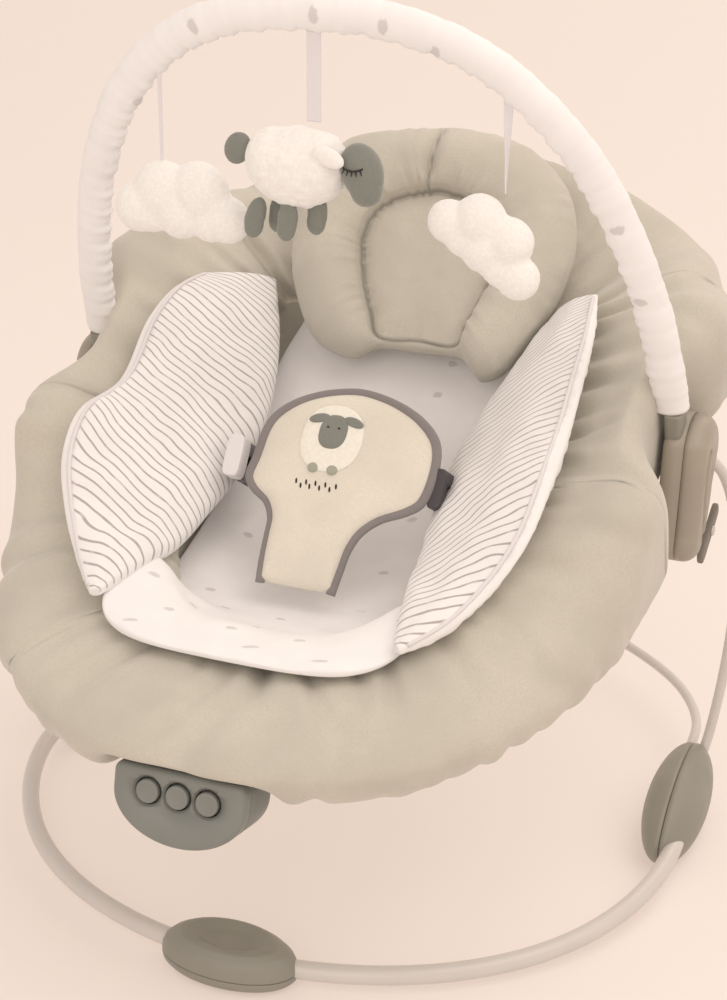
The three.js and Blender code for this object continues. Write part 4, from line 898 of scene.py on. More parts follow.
def seat_insert():
    """The printed insert: it lies in the bucket, and its foot end folds over the ring as a lip."""
    y = np.concatenate([np.linspace(-197, -180, 14, endpoint=False), np.linspace(-180, 138, 130)])
    lip_end, lip_corner, lip_half = -198, -132, 99
    share = np.clip((lip_corner - y) / (lip_corner - lip_end), 0, 1)
    lip = lip_half * (1 - share**3.2) ** (1 / 3.2)
    body = 92 - 8 * smoothstep(90, 138, y)
    half = np.where(y < lip_corner, lip, body + (lip_half - body) * (1 - smoothstep(lip_corner, -84, y)))
    taper = np.clip(np.minimum((y - y[0] + 1.2) / 9, (y[-1] - y + 1.2) / 9), 0.05, 1) ** 0.5

    def height(x, at_y):
        lining = lining_height(x, at_y)
        over_ring = ring_top_at(x, at_y) + 13 - 60 * smoothstep(-118, -84, at_y)
        softer = 2.5 * np.exp(-np.abs(lining - over_ring) / 5)
        return np.maximum(lining, over_ring) + softer

    loops, side = puffed_sheet(y, half, height, 9, taper)
    soft = 2.2 * lumps(loops, 38, 3) + 0.9 * lumps(loops * np.array([2.2, 0.7, 1]), 20, 4)
    loops[..., 2] += soft * np.clip(side, 0, 1)
    obj = loft("insert", loops)
    surface_map(obj, loops)
    subdivide(obj)
    finish_piece(obj, "seat", PRINTED, ["seat_insert"])


def sling_height(x, y):
    """Under the lining, rising into the ring along the edge."""
    rise = 1 - smoothstep(0.72, 1.12, nearest_on_ring(x, y)[1])
    low = lining_height(x, y) - LINING_TO_SLING
    return low + rise * np.maximum(seat_height(y) + 6 - low, 0)


def seat_sling():
    """The plain cloth under the insert, sewn into the ring."""
    inside_foot = SEAT_WIDEST_Y - SEAT_FOOT_REACH + RING_HALF_WIDTH - 3
    inside_head = SEAT_WIDEST_Y + SEAT_HEAD_REACH - RING_HALF_WIDTH + 22
    y = np.linspace(inside_foot, inside_head, 90)
    loops, _ = puffed_sheet(y, inside_half_width(y), sling_height, 4, np.ones(len(y)))
    loops[..., 2] += 0.7 * lumps(loops, 30, 5)
    obj = loft("sling", loops)
    finish_piece(obj, "seat", SLING_VELOUR, ["seat_sling"])


# ------------------------------------------------------------------ side wings

def wing_line(points, count):
    """A wing's edge, from heights above the ring's centreline."""
    return smooth_curve([(x, y, seat_height(y) + above) for x, y, above in points], count)


# Wing edges, as X, Y and the height above the ring's centreline.
WING_INNER = [(94, -170, 38), (83, -125, 31), (78, -98, 22), (75, -61, 17), (71, -25, 15),
              (70, 8, 15), (74, 40, 15), (86, 80, 21), (102, 112, 35)]
WING_OUTER = {
    "right": [(99, -174, 39), (121, -150, 43), (139, -122, 54), (149, -98, 66), (152, -70, 76),
              (152, -30, 83), (148, 15, 84), (143, 55, 80), (133, 98, 66)],
    "left": [(99, -174, 39), (121, -150, 43), (144, -122, 56), (158, -98, 72), (161, -70, 83),
             (152, -30, 76), (153, 15, 84), (150, 50, 78), (142, 84, 60)],
}
STRIPE_SLANT = 0.55  # how far a stripe climbs towards the head for each millimetre outwards


def wing(side, sign):
    """A wadded wing with a striped face, a plain edge band and a piped edge between them."""
    stations, sides = 110, 48
    inner, outer = wing_line(WING_INNER, stations), wing_line(WING_OUTER[side], stations)
    across = outer - inner
    thick = unit(np.cross(across, np.gradient(inner, axis=0)))
    thick *= -np.sign(thick[:, :1])  # towards the sitter
    along = np.linspace(0, 1, stations)
    ends = np.clip(np.sin(np.pi * np.clip(along, 0.012, 0.988)), 0, 1) ** 0.42
    angle = full_turn(sides)
    t = np.cos(angle)
    face = np.sign(np.sin(angle)) * (1 - np.abs(t) ** 9) ** 0.5
    plump = 12.5 - 5.5 * smoothstep(0.2, 1.0, t) - 3 * smoothstep(0.4, 1.0, -t)
    swell = ends[:, None] * (plump * face)[None]
    swell = np.where(face[None] > 0, swell * 1.15, swell * 0.8)
    middle = (inner + outer) / 2
    points = middle[:, None] + across[:, None] * (t / 2)[None, :, None] + thick[:, None] * swell[..., None]
    quilt = 2.2 * lumps(points, 42, 6) + 0.9 * lumps(points * np.array([1, 0.6, 1.8]), 16, 7)
    edge_fade = np.exp(-((1 - np.abs(t)) / 0.12))[None]
    gather = 1.1 * np.sin(along * 190 + 3 * np.sin(along * 31))[:, None] * edge_fade
    raised = (quilt + gather) * ((np.abs(face) > 0.4) * np.sign(face))[None]
    points = points + thick[:, None] * raised[..., None]
    obj = loft(f"wing_{side}", sided(points, sign))
    striped = smoothstep(-0.1, 0.25, face) * (1 - smoothstep(0.90, 0.93, t))
    set_values(obj, "striped", striped * np.ones((stations, 1)))
    width = np.linalg.norm(across, axis=1)[:, None]
    length = np.linalg.norm(np.diff(middle, axis=0), axis=1).sum()
    set_values(obj, "stripe_place", along[:, None] * length - STRIPE_SLANT * width * (1 + t[None]) / 2)
    subdivide(obj)
    finish_piece(obj, "seat", STRIPED, [f"side_wing_{side}"])
    rim = middle + across * 0.925 / 2 + thick * (ends * 6.6)[:, None]
    piping = tube(f"wing_piping_{side}", spread(sided(rim[2:-2], sign), 160), 1.3, sides=12)
    finish_piece(piping, "seat", WHITE_TAPE)


# ------------------------------------------------------------------ head pillow

def polar_radius(outline, middle, angles):
    """How far an outline, which is star-shaped about a middle, lies from it at each angle."""
    closed = smooth_curve([*outline, outline[0]], 400)[:-1] - np.array(middle)
    at = np.arctan2(closed[:, 1], closed[:, 0])
    order = np.argsort(at)
    return np.interp(angles, at[order], np.hypot(closed[:, 0], closed[:, 1])[order], period=2 * np.pi)


def plane_matrix(origin, slope):
    """Puts a shape drawn in X and Y, facing +Z, on a sloping plane."""
    return Matrix.Translation(origin) @ Matrix.Rotation(slope, 4, "X")


PILLOW_MIDDLE = (5, -12)
PILLOW_RIM = [(-100, 12), (-96, 42), (-74, 68), (-30, 80), (15, 84), (60, 74), (92, 46),
              (105, 10), (103, -28), (90, -64), (74, -92), (60, -97), (48, -84), (14, -83),
              (-15, -84), (-30, -93), (-58, -86), (-80, -60), (-94, -26)]
PILLOW_PANEL = [(-44, -8), (-38, 14), (-20, 27), (4, 33), (28, 28), (48, 12), (55, -10),
                (52, -36), (45, -62), (42, -76), (14, -77), (-16, -77), (-24, -62), (-36, -36)]


def pillow_rows(near, far, gather):
    """Rows from the middle out over the panel and the roll: radius, height and distance to the seam."""
    inside, outside = 22, 36
    width = far - near
    roll = np.minimum(25, 0.50 * width)
    rows, heights, seam = [], [], []
    for share in np.linspace(0.02, 1, inside):
        rows.append(near * share)
        pucker = 0.9 * gather * math.exp(-(1 - share) / 0.07)
        heights.append(7 + 8 * (1 - share**3.5) + pucker)
        seam.append(near * (1 - share))
    for share in np.linspace(0, 1, outside + 1)[1:]:
        rows.append(near + width * share)
        crown = (4 * share * (1 - share)) ** 0.55
        at_seams = math.exp(-share / 0.16) + 0.8 * math.exp(-(1 - share) / 0.10)
        pucker = 2.2 * gather * at_seams * min(1, 4 * crown)
        heights.append(7 * (1 - share) + roll * crown + pucker * (width > 25))
        seam.append(np.minimum(width * share, width * (1 - share) + 0.6))
    return np.array(rows), np.array(heights), np.array(seam)


def head_pillow():
    """A horseshoe roll round a flatter centre panel, joined by sewn seams."""
    angles = np.linspace(-np.pi, np.pi, 220, endpoint=False)
    near, far = (polar_radius(line, PILLOW_MIDDLE, angles) for line in (PILLOW_PANEL, PILLOW_RIM))
    stretch = np.sin(9 * angles + 2) * 3 + 29 * angles
    gather = np.sin(stretch) + 0.6 * np.sin(2.7 * stretch + 1)
    radius, height, seam = pillow_rows(near, far, gather)
    x = PILLOW_MIDDLE[0] + radius * np.cos(angles)
    y = PILLOW_MIDDLE[1] + radius * np.sin(angles)
    join_gap = np.abs(x + 4) + np.where(y > 30, 0, 60)
    join = np.exp(-((join_gap / 5) ** 2)) * smoothstep(34, 44, y) * (1 - smoothstep(72, 82, y))
    height = height * (1 - 0.30 * join)
    seam = np.minimum(seam, join_gap)
    flat = np.stack([x, y, np.zeros_like(x)], -1)
    height = height + (1.6 * lumps(flat, 34, 8) + 0.8 * lumps(flat, 13, 9)) * np.clip(height / 12, 0, 1)
    front = np.stack([x, y, height - 2], -1)
    back_height = -15 * (1 - (radius / far) ** 3.2) ** 0.6 + 0.8 * lumps(flat, 30, 10) * (radius < 0.95 * far)
    back = np.stack([x, y, np.minimum(back_height, -2.0)], -1)[:-1][::-1]
    loops = moved(np.concatenate([front, back]), plane_matrix(PILLOW_AT, PILLOW_SLOPE))
    obj = loft("pillow", loops)
    set_values(obj, "seam", np.concatenate([seam, np.full(back.shape[:2], NO_SEAM)]))
    subdivide(obj)
    finish_piece(obj, "seat", SAGE_VELOUR, ["head_pillow"])


# ------------------------------------------------------------------ harness pad, belts and buckles

CROTCH_SWAY = 12
CROTCH_HALF = [(0, 24), (14, 25.5), (30, 27), (42, 30), (52, 38), (60, 52), (66, 58),
               (80, 59), (98, 58), (108, 54), (118, 43), (125, 29), (129.5, 13)]  # how far up, half width


def crotch_outline(count=220):
    """The pad's edge, round from its neck: wide at the waist, narrow between the legs, leaning a little."""
    right = [(half + crotch_lean(up), up) for up, half in CROTCH_HALF]
    left = [(-half * 0.985 + crotch_lean(up), up) for up, half in CROTCH_HALF][::-1]
    return smooth_curve([*right, (crotch_lean(131), 131), *left], count)


def crotch_lean(up):
    """How far the pad's middle has moved sideways at a height."""
    return CROTCH_SWAY * float(smoothstep(20, 90, np.array(up)))


def crotch_height(x, y):
    """How far the pad's face stands out of its plane: a soft crown and a slight curl at the waist."""
    away = np.abs(x - CROTCH_SWAY * smoothstep(20, 90, y)) / 58
    return 7.0 - 5.5 * away**2 + 1.5 * np.sin(y / 38) + 0.6 * lumps(np.stack([x, y, 0 * x], -1), 24, 11)


def harness_pad():
    """The pad between the legs, with its bound edge and its picture."""
    outline = crotch_outline()
    middle = np.array([6, 70])
    place = plane_matrix(CROTCH_AT, CROTCH_SLOPE)
    rings = []
    for share in np.linspace(0.02, 1, 34):
        flat = middle + (outline - middle) * share
        rise = crotch_height(flat[:, 0], flat[:, 1]) * (1 - share**10) ** 0.5
        rings.append(np.column_stack([flat, rise - 1.0 * share**10]))
    for share in np.linspace(0.97, 0.05, 12):
        flat = middle + (outline - middle) * share
        rings.append(at_height(flat, -4.0 * (1 - share**8) ** 0.5 - 1.0))
    loops = moved(np.array(rings), place)
    pad = loft("harness_pad", loops)
    subdivide(pad)
    finish_piece(pad, "seat", PALE_VELOUR, ["crotch_restraint"])
    edge = moved(at_height(outline, 0.4), place)
    face_up = np.array(place.to_3x3() @ Vector((0, 0, 1)))
    binding = tube("harness_binding", edge, 3.1, sides=16, flat=0.8, up=face_up)
    finish_piece(binding, "seat", BINDING)
    applique(place)


PATCH_CROWN = [(0.02, 1), (0.3, 1), (0.55, 0.97), (0.75, 0.9),
               (0.9, 0.7), (0.97, 0.4), (1.0, 0.0), (0.9, -0.6)]  # shares of the way out and of the thickness


def patch(name, outline, thickness, lift, material, place):
    """A soft flat shape sewn on the pad's face, drawn in the pad's own plane."""
    outline = np.asarray(outline, float)
    middle = outline.mean(0)
    rings = []
    for share, rise in PATCH_CROWN:
        flat = middle + (outline - middle) * share
        rings.append(np.column_stack([flat, crotch_height(flat[:, 0], flat[:, 1]) + lift + thickness * rise]))
    obj = loft(name, moved(np.array(rings), place))
    finish_piece(obj, "seat", material)


def oval(x, y, half_x, half_y, turn=0.0, count=48, power=2.0):
    """A closed outline about a place, from a plain oval, at a power of 2, to a squarer one."""
    u, v = rounded_loop(half_x, half_y, power, count).T
    c, s = math.cos(turn), math.sin(turn)
    return np.stack([x + u * c - v * s, y + u * s + v * c], -1)


def applique(place):
    """A plain sheep face on a fleece oval, with two feet and a few stitches for grass."""
    patch("applique_fleece", oval(2, 97, 21, 22.5, power=2.3), 1.6, 0, CREAM_FLEECE, place)
    patch("applique_face", oval(2.5, 101, 9.5, 11.5, power=2.4), 1.4, 1.4, GREY_PLUSH, place)
    patch("applique_ear_left", oval(-9, 109, 7, 3.1, 0.25), 1.1, 1.4, GREY_PLUSH, place)
    patch("applique_ear_right", oval(14.5, 109, 7, 3.1, -0.25), 1.1, 1.4, GREY_PLUSH, place)
    for side, x in (("left", -5), ("right", 8)):
        patch(f"applique_foot_{side}", oval(x, 76.5, 3.6, 3.2), 1.0, 0.6, SAGE_FELT, place)
    for side, x in (("left", -1.2), ("right", 6.2)):
        eye = oval(x, 103.5, 0.9, 0.7, count=16)
        patch(f"applique_eye_{side}", eye, 0.5, 2.6, DARK_THREAD, place)
    for number in range(9):
        x = -14 + 3.4 * number + RANDOM.uniform(-0.6, 0.6)
        y = 66.5 - 2.6 * (number % 2)
        mark = oval(x, y, 0.7, 1.9, 0.2, count=12)
        patch(f"grass_stitch_{number + 1}", mark, 0.35, 0, DARK_THREAD, place)


def buckle_matrix(sign):
    """Axes along the belt, up its width and out of its face, on the right (+1) or the left (-1) side."""
    run = Vector((0.06, 0.83, -0.555)).normalized()
    pad_up = Vector((0, math.cos(0.89), math.sin(0.89)))
    out = run.cross(pad_up).normalized()
    up = out.cross(run).normalized()
    start = Vector((68, -46, 277))
    turn = Matrix((run, up, out)).transposed().to_4x4()
    placed = Matrix.Translation(start) @ turn
    return Matrix.Translation((6.5, 0, 0)) @ Matrix.Diagonal((sign, 1, 1, 1)) @ placed


def box_along(length_from, length_to, half_up, half_out, corner=4.5, edge=1.2):
    """Loops of a soft box whose length runs along X."""
    loops = soft_box(half_up, half_out, length_from, length_to, corner, edge)
    return loops[..., [2, 0, 1]]


def buckles():
    """Side-release buckles: the left one's socket has the belt's end sewn over it."""
    socket_length, half_width, half_depth = 26, 12.8, 4.8

    def buckle(side, sign):
        place = buckle_matrix(sign)
        socket = box_along(0, socket_length, half_width, half_depth)
        body = loft(f"buckle_socket_{side}", moved(socket, place))
        mouth = loft("mouth", moved(box_along(8, socket_length + 3, 7.7, 2.7, 8, 0.3), place))
        window = loft("window", moved(box_along(7, 17, 3.2, 9, 6, 0.3), place))
        cut_away(body, mouth, window)
        finish_piece(body, "seat", DARK_PLASTIC, [f"buckle_{side}_socket"])
        if side == "left":
            over = box_along(-5, 10, half_width + 0.8, half_depth + 0.8, 4.5, 1.0)
            sleeve = loft("buckle_sleeve", moved(over, place))
            channel = loft("channel", moved(box_along(3, 13, 7.9, 2.9, 8, 0.3), place))
            cut_away(sleeve, channel)
            finish_piece(sleeve, "seat", WHITE_TAPE)
        flange = box_along(socket_length + 0.4, socket_length + 14, half_width, 3.8, 4.5, 1.0)
        prong = box_along(10.5, socket_length + 2, 6.8, 1.9, 5, 0.8)
        tongue = loft(f"buckle_tongue_{side}", moved(flange, place))
        prongs = loft(f"buckle_prongs_{side}", moved(prong, place))
        finish_piece(tongue, f"buckle_tongue_{side}", DARK_PLASTIC, [f"buckle_{side}_tongue"])
        finish_piece(prongs, f"buckle_tongue_{side}", DARK_PLASTIC)
        belt_loops = box_along(socket_length + 3, socket_length + 25, 12, 0.7, 8, 0.25)
        belt_loops[..., 2] -= 4 + 0.3 + 0.8
        belt = loft(f"belt_{side}", moved(belt_loops, place))
        finish_piece(belt, "seat", WHITE_TAPE, [f"waist_belt_{side}"])

    both_sides(buckle)


# ------------------------------------------------------------------ vibration unit

def vibrator_matrix():
    """Puts the vibration unit, drawn facing +Z, in its leaning place."""
    return Matrix.Translation(VIBRATOR_AT) @ Matrix.Rotation(math.pi / 2 - VIBRATOR_LEAN, 4, "X")


def vibrator_outline(inset, count=140):
    """Straight at the top with rounded corners, and a half oval below."""
    half = VIBRATOR_HALF_WIDTH - inset
    above, below = VIBRATOR_ABOVE - inset, VIBRATOR_BELOW - 2 - inset
    corner = 6 - min(inset, 4)
    angle = np.linspace(np.pi, 2 * np.pi, 60)
    bowl = np.stack([half * np.cos(angle), -2 + below * np.sin(angle)], -1)
    turn = np.linspace(0, np.pi / 2, 12)
    right = np.stack([half - corner + corner * np.cos(turn), above - corner + corner * np.sin(turn)], -1)
    left = right[::-1] * np.array([-1, 1])
    return spread(np.concatenate([bowl, right, left, bowl[:1]]), count + 1)[:-1]


def case_loops(rows):
    """The case's outline at each row of (inset, height)."""
    return np.array([at_height(vibrator_outline(inset), z) for inset, z in rows])


def rounded_rows(low, high, edge, at_high=True):
    """Rows of (inset, height) of a plate with one rounded edge."""
    rows = [(0.3, low), (0, low + 0.4)]
    for angle in np.linspace(0, np.pi / 2, 9):
        rows.append((edge * (1 - math.cos(angle)), high - edge + edge * math.sin(angle)))
    rows.append((edge + 3, high))
    return rows if at_high else [(inset, low + high - z) for inset, z in rows][::-1]


def vibration_unit():
    """The two halves of the case and the three buttons."""
    place = vibrator_matrix()
    front = loft("vibration_front", moved(case_loops(rounded_rows(-8.7, 0, 4)), place))
    wells = []
    for step in (-1, 0, 1):
        well = turned([[0, -6.5], [8.0, -6.5], [8.0, -1.2], [9.2, -0.2], [9.4, 2], [0, 2]], 48, 40)
        wells.append(loft("well", moved(well + np.array([step * BUTTON_PITCH, 0, 0]), place)))
    cut_away(front, *wells)
    finish_piece(front, "seat", UNIT_PLASTIC, ["vibration_case_front"])
    back = loft("vibration_back", moved(case_loops(rounded_rows(-VIBRATOR_DEPTH, -9.2, 4, False)), place))
    hole_ends = (-VIBRATOR_DEPTH - 1, -VIBRATOR_DEPTH + 3.4)
    hole = loft("hole", moved(block_loops(-33.6, 20.6, -15.6, 11.1, *hole_ends), place))
    cut_away(back, hole)
    finish_piece(back, "seat", UNIT_PLASTIC, ["vibration_case_back"])
    profile = [[0, -4.6], [6.6, -4.6], [7.0, -4.2], [7.0, 0.4], [6.6, 1.2]]
    profile += [[5.6, 1.4], [4.6, 1.15], [2.5, 0.75], [0, 0.65]]
    for name, step in (("left", -1), ("centre", 0), ("right", 1)):
        cap = turned(profile, 56, 60) + np.array([step * BUTTON_PITCH, 0, 0])
        button = loft(f"button_cap_{name}", moved(cap, place))
        finish_piece(button, f"button_{name}", UNIT_PLASTIC, [f"button_{name}"])


def block_loops(left, right, low, high, back, front):
    """Loops of a plain block."""
    corners = np.array([[left, low], [right, low], [right, high], [left, high]], float)
    return np.array([at_height(corners, z) for z in (back, front)])


# ------------------------------------------------------------------ toy bar sleeve

def bar_sleeve():
    """The toy bar's padded sleeve, gathered along its inner side."""
    rows, sides = 420, 40
    deep, wide = 11.6, 8.4
    path = bar_path(SLEEVE_STARTS, rows)
    tangents = unit(np.gradient(path, axis=0))
    across = np.array([0, -math.cos(BAR_LEAN), -math.sin(BAR_LEAN)])
    outwards = unit(np.cross(np.repeat(across[None], rows, 0), tangents))
    middle = np.array(BAR_BASE) + np.array(BAR_UP) * 120
    outwards *= np.sign(np.sum(outwards * (path - middle), axis=1))[:, None]
    angle = full_turn(sides)
    c, s = np.cos(angle)[None], np.sin(angle)[None]
    arc = np.linspace(0, 1, rows)[:, None] * np.linalg.norm(np.diff(path, axis=0), axis=1).sum()
    wander = 5 * np.sin(arc / 37) + 3 * np.sin(arc / 14.3)
    gather = 0.5 * np.sin((arc + wander) / 1.35) + 0.6 * np.sin((arc + wander) / 2.9 + 1)
    inner_side = smoothstep(0.25, 1.0, -c)
    ruffle = 1.0 * gather * inner_side + 0.25 * gather * (1 - inner_side)
    hem = 1 - 0.08 * np.exp(-np.minimum(arc, arc[-1] - arc) / 5)
    flat = path[:, None] + outwards[:, None] * (deep * c * hem)[..., None]
    flat = flat + across * (wide * s * hem)[..., None]
    swell = (ruffle + 0.7 * lumps(flat, 24, 12))[..., None]
    points = flat + swell * unit(outwards[:, None] * (c * wide)[..., None] + across * (s * deep)[..., None])
    obj = loft("bar_sleeve", points)
    surface_map(obj, points)
    replaced = ["toy_bar_sleeve", "toy_bar_tube"]
    finish_piece(obj, "toy_bar", SLEEVE_PRINT, replaced)


# ------------------------------------------------------------------ hanging toys

def hanging_point(x):
    """The point of the toy bar above a place across the seat."""
    path = bar_point(np.linspace(0.05, np.pi - 0.05, 2000))
    return path[np.abs(path[:, 0] - x).argmin()]


def ribbon(name, body, replaced, x, length, widths, twist=0.0):
    """A flat ribbon that hangs from the sleeve, with its widths along its length and an even twist."""
    top = hanging_point(x)
    rows = 60
    down = np.linspace(0, 1, rows)
    centre = np.stack([np.full(rows, top[0]), np.full(rows, top[1]), top[2] - 11 - down * (length + 8)], -1)
    half = np.interp(down, np.linspace(0, 1, len(widths)), widths)[:, None] / 2
    turn = down * twist
    across = np.stack([np.cos(turn), np.sin(turn), np.zeros(rows)], -1)
    face = np.stack([-np.sin(turn), np.cos(turn), np.zeros(rows)], -1)
    outline = rounded_loop(1, 1, 6, 24)
    loops = centre[:, None] + across[:, None] * (half * outline[:, 0])[..., None]
    loops = loops + face[:, None] * (0.45 * outline[:, 1])[None, :, None]
    finish_piece(loft(name, loops), body, WHITE_TAPE, [replaced])


def ribbons():
    """The three ribbons that the toys hang from."""
    ribbon("ribbon_left", "cloud_left", "toy_ribbon_left", -110, 50, [3.2, 2.2, 2.2])
    ribbon("ribbon_centre", "sheep", "toy_ribbon_centre", -4, 44, [9, 9, 9])
    ribbon("ribbon_right", "cloud_right", "toy_ribbon_right", 110, 46, [6, 4.5, 3, 4], 1.9)


def blob(name, balls, voxel=1.6):
    """One soft closed body from overlapping ellipsoids of (middle, half sizes, turn about Y)."""
    mesh = bpy.data.meshes.new(name)
    gathered = bmesh.new()
    for middle, halves, turn in balls:
        matrix = Matrix.Translation(Vector(to_frame(middle))) @ Matrix.Rotation(turn, 4, "Y")
        matrix = matrix @ Matrix.Diagonal((*[half * MM for half in halves], 1))
        bmesh.ops.create_icosphere(gathered, subdivisions=4, radius=1, matrix=matrix)
    gathered.to_mesh(mesh)
    gathered.free()
    obj = bpy.data.objects.new(name, mesh)
    bpy.context.scene.collection.objects.link(obj)
    modify(obj, "REMESH", mode="VOXEL", voxel_size=voxel * MM)
    modify(obj, "SMOOTH", iterations=6, factor=0.6)
    return obj


def fleece_surface(obj, depth, size):
    """Real curls on a plush surface."""
    mesh = obj.data
    count = len(mesh.vertices)
    points, normals = np.zeros(count * 3), np.zeros(count * 3)
    mesh.vertices.foreach_get("co", points)
    mesh.vertices.foreach_get("normal", normals)
    points, normals = points.reshape(-1, 3), normals.reshape(-1, 3)
    raised = points + normals * (lumps(points / MM, size, 13) * depth * MM)[:, None]
    mesh.vertices.foreach_set("co", raised.ravel())
    mesh.update()


def cloud(body, balls, tilt):
    """A puffy cloud, drawn as round lobes about its CAD middle and tilted in its own plane."""
    middle = box_middle(f"toy_{body}")
    placed = []
    for x, z, radius in balls:
        turned_x = x * math.cos(tilt) + z * math.sin(tilt)
        turned_z = -x * math.sin(tilt) + z * math.cos(tilt)
        at = (middle[0] + turned_x, middle[1], middle[2] + turned_z)
        placed.append((at, (radius, min(11.5, radius * 0.72), radius), 0.0))
    obj = blob(f"{body}_puff", placed)
    fleece_surface(obj, 0.35, 2.6)
    finish_piece(obj, body, WHITE_PLUSH, [f"toy_{body}"])


def box_middle(node):
    """The middle of a CAD node, in drawing millimetres."""
    low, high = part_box(node)
    return np.array([(a + b) / 2 for a, b in zip(low, high)]) / MM - np.array([0, FRAME_Y / MM, 0])


# Lobes of the clouds, as X, Z and radius.
LEFT_CLOUD = [(-29, -9, 16), (-12, 2, 21), (12, 6, 20), (31, -8, 15),
              (0, -9, 16), (-20, -11, 13), (20, -11, 13)]
RIGHT_CLOUD = [(-26, -7, 13.5), (-12, 6, 16), (9, 7, 15), (26, -7, 13.5),
               (0, -6, 15), (-14, -9, 12), (14, -9, 12)]


def clouds():
    """The two plush clouds."""
    cloud("cloud_left", LEFT_CLOUD, 0.05)
    cloud("cloud_right", RIGHT_CLOUD, 0.6)


def sheep():
    """The plush sheep: body, ear, head, four legs and tail."""
    head = box_middle("toy_sheep_head")
    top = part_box("toy_sheep_body")[1].z / MM
    middle = np.array([head[0] - 42, head[1] + 2, top - 27])

    def at(x, y, z):
        return tuple(middle + np.array([x, y, z]))

    body = blob("sheep_body", [(at(0, 0, 0), (31, 18, 24), 0), (at(-14, 0, 3), (18, 17, 20), 0),
                               (at(15, 0, 2), (17, 17, 21), 0), (at(2, 0, 10), (20, 14, 15), 0)])
    fleece_surface(body, 0.9, 4.2)
    finish_piece(body, "sheep", WHITE_PLUSH, ["toy_sheep_body"])
    ear = blob("sheep_ear", [(at(26, -15, 12), (11, 3, 6), 0.35)], 1.0)
    finish_piece(ear, "sheep", WHITE_PLUSH)
    face = blob("sheep_head", [(tuple(head + np.array([0, 0, 2])), (13, 11, 17), -0.35),
                               (tuple(head + np.array([3, 0, -8])), (10, 10, 11), 0)], 1.2)
    fleece_surface(face, 0.15, 1.5)
    finish_piece(face, "sheep", GREY_PLUSH, ["toy_sheep_head"])
    legs = [(-25, -5, -31, 0.35), (-3, -7, -30, 0.12), (12, 3, -27, 0.05), (-14, 6, -29, 0.2)]
    for number, (x, y, z, turn) in enumerate(legs, 1):
        leg_balls = [(at(x, y, z), (6.5, 4, 13), turn), (at(x - 1, y, z - 6), (6.2, 4, 8), turn)]
        leg = blob(f"sheep_leg_{number}", leg_balls, 1.1)
        fleece_surface(leg, 0.15, 1.5)
        finish_piece(leg, "sheep", GREY_PLUSH)
    tail = blob("sheep_tail", [(at(-38, 0, 8), (8.5, 4.5, 10.5), 0.5)], 1.1)
    finish_piece(tail, "sheep", GREY_PLUSH)
    eyelid(head)


def eyelid(head):
    """A sleeping eye: a curved line of thread with lashes."""
    def on_lid(share):
        back = 1.6 * share**2
        return head + np.stack([6.5 * share - 2, back - 11.6, back + 4.4], -1)

    lid = tube("sheep_eye", on_lid(np.linspace(-1, 1, 13)), 0.55, sides=8)
    finish_piece(lid, "sheep", DARK_THREAD)
    for number, share in enumerate(np.linspace(-0.75, 0.75, 5), 1):
        root = on_lid(share)
        tip = root + np.array([1.6 * share, -0.2, -3.2])
        line = np.stack([root, (root + tip) / 2, tip])
        lash = tube(f"sheep_lash_{number}", line, [0.45, 0.4, 0.2], sides=8)
        finish_piece(lash, "sheep", DARK_THREAD)


# ------------------------------------------------------------------ CAD nodes that stay

def dress_frame():
    """Materials for the CAD nodes that show as they are."""
    kept = {
        RUBBER: ["side_foot_right_pad", "side_foot_left_pad", "front_foot_pad"],
        STEEL: ["side_foot_right_screw", "side_foot_left_screw", "battery_door_screw",
                "vibration_motor", "motor_weight"],
        UNIT_PLASTIC: ["battery_door"],
        BOARD: ["circuit_board"],
        CELL: ["battery"],
        WHITE_METAL: ["seat_tube_foot", "seat_tube_head"],
    }
    for material, names in kept.items():
        for name in names:
            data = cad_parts[name].data
            data.materials.clear()
            data.materials.append(material)


# ------------------------------------------------------------------ floor, light and camera

def backdrop_sheet():
    """A pale floor that sweeps up behind the object, lit a little from within so that it stays even."""
    s = Shader("backdrop", 0.95, Emission_Color=(1.0, 0.80, 0.68, 1), Emission_Strength=0.48)
    s.colour((0.42, 0.41, 0.40))
    half, bend_y, bend, height = 3000, 1200, 700, 3500
    profile = [(-half, 0), (bend_y, 0)]
    for angle in np.linspace(0.1, math.pi / 2, 16):
        profile.append((bend_y + bend * math.sin(angle), bend - bend * math.cos(angle)))
    profile.append((bend_y + bend, height))
    points = [(x, y, z) for y, z in profile for x in (-half, half)]
    faces = [[2 * i, 2 * i + 1, 2 * i + 3, 2 * i + 2] for i in range(len(profile) - 1)]
    mesh = bpy.data.meshes.new("backdrop")
    mesh.from_pydata(to_frame(points).tolist(), [], faces)
    mesh.shade_smooth()
    mesh.materials.append(s.material)
    backdrop = bpy.data.objects.new("backdrop", mesh)
    bpy.context.scene.collection.objects.link(backdrop)


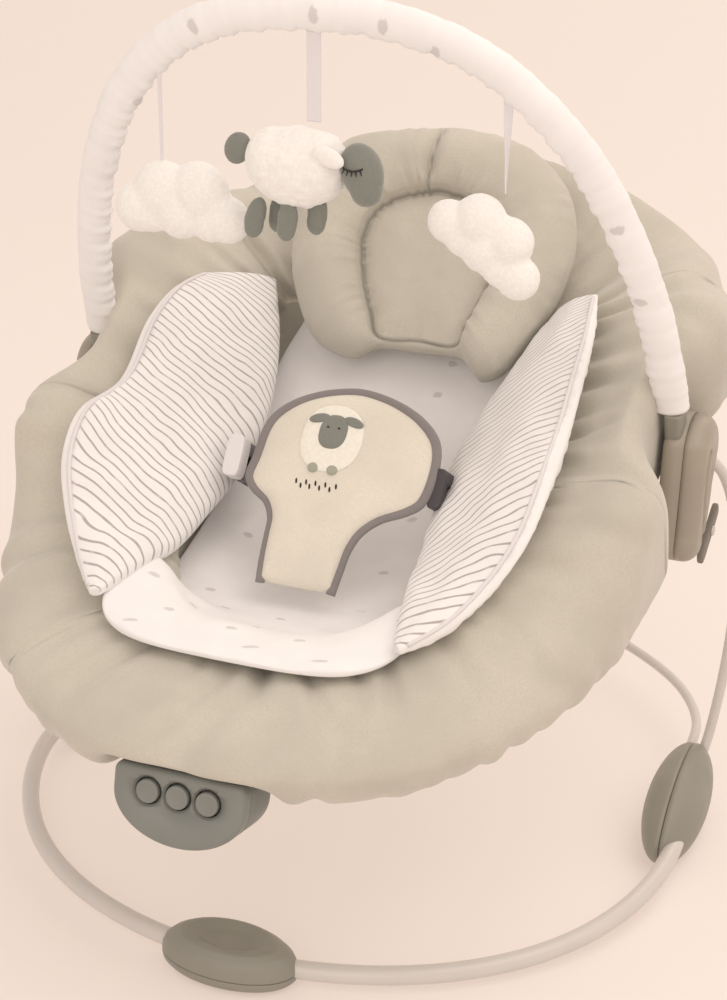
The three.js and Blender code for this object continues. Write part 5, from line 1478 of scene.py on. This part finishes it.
def studio():
    """Soft warm light from all round, with a key light on the right, one in front and one behind."""
    backdrop_sheet()
    world = bpy.data.worlds.new("studio")
    world.use_nodes = True
    background = world.node_tree.nodes["Background"].inputs
    background["Color"].default_value = (1.0, 0.885, 0.795, 1)
    background["Strength"].default_value = 0.80
    bpy.context.scene.world = world
    area_light("key", (1.0, -0.3, 1.9), (0, 0, 0.25), 1.6, 12.0)
    area_light("fill", (0.1, -1.7, 1.0), (0, 0, 0.25), 1.4, 7.0)
    area_light("back", (0.5, 1.5, 1.8), (0, 0, 0.3), 1.4, 10.0)


def area_light(name, at, towards, size, power):
    """A soft square light."""
    data = bpy.data.lights.new(name, "AREA")
    data.energy = power
    data.size = size
    data.color = (1.0, 0.90, 0.82)
    light = bpy.data.objects.new(name, data)
    light.location = at
    light.rotation_euler = (Vector(towards) - Vector(at)).to_track_quat("-Z", "Y").to_euler()
    bpy.context.scene.collection.objects.link(light)


def camera():
    """The view from a little right of the foot end, with lengths in millimetres."""
    azimuth, elevation, roll = math.radians(21.27), math.radians(23.96), math.radians(0.45)
    distance = 1272.5
    target = np.array([8.7, 0, 239.1])
    flat = math.cos(elevation)
    back = np.array([math.sin(azimuth) * flat, -math.cos(azimuth) * flat, math.sin(elevation)])
    level = np.array([math.cos(azimuth), math.sin(azimuth), 0])
    above = np.cross(back, level)
    right = math.cos(roll) * level + math.sin(roll) * above
    up = -math.sin(roll) * level + math.cos(roll) * above
    data = bpy.data.cameras.new("camera")
    data.sensor_fit = "VERTICAL"
    data.sensor_height = 36
    data.lens = 69.9
    obj = bpy.data.objects.new("camera", data)
    place = to_frame(target + back * distance)
    rows = [[*row, p] for row, p in zip(np.stack([right, up, back], 1), place)]
    obj.matrix_world = Matrix([*rows, [0, 0, 0, 1]])
    bpy.context.scene.collection.objects.link(obj)
    bpy.context.scene.camera = obj
    bpy.context.scene.view_settings.view_transform = "Standard"


camera()
studio()
base_tubes()
side_feet()
front_foot()
hubs()
plugs()
tabs()
ring_cover()
seat_sling()
seat_insert()
both_sides(wing)
head_pillow()
harness_pad()
buckles()
vibration_unit()
bar_sleeve()
ribbons()
clouds()
sheep()
dress_frame()
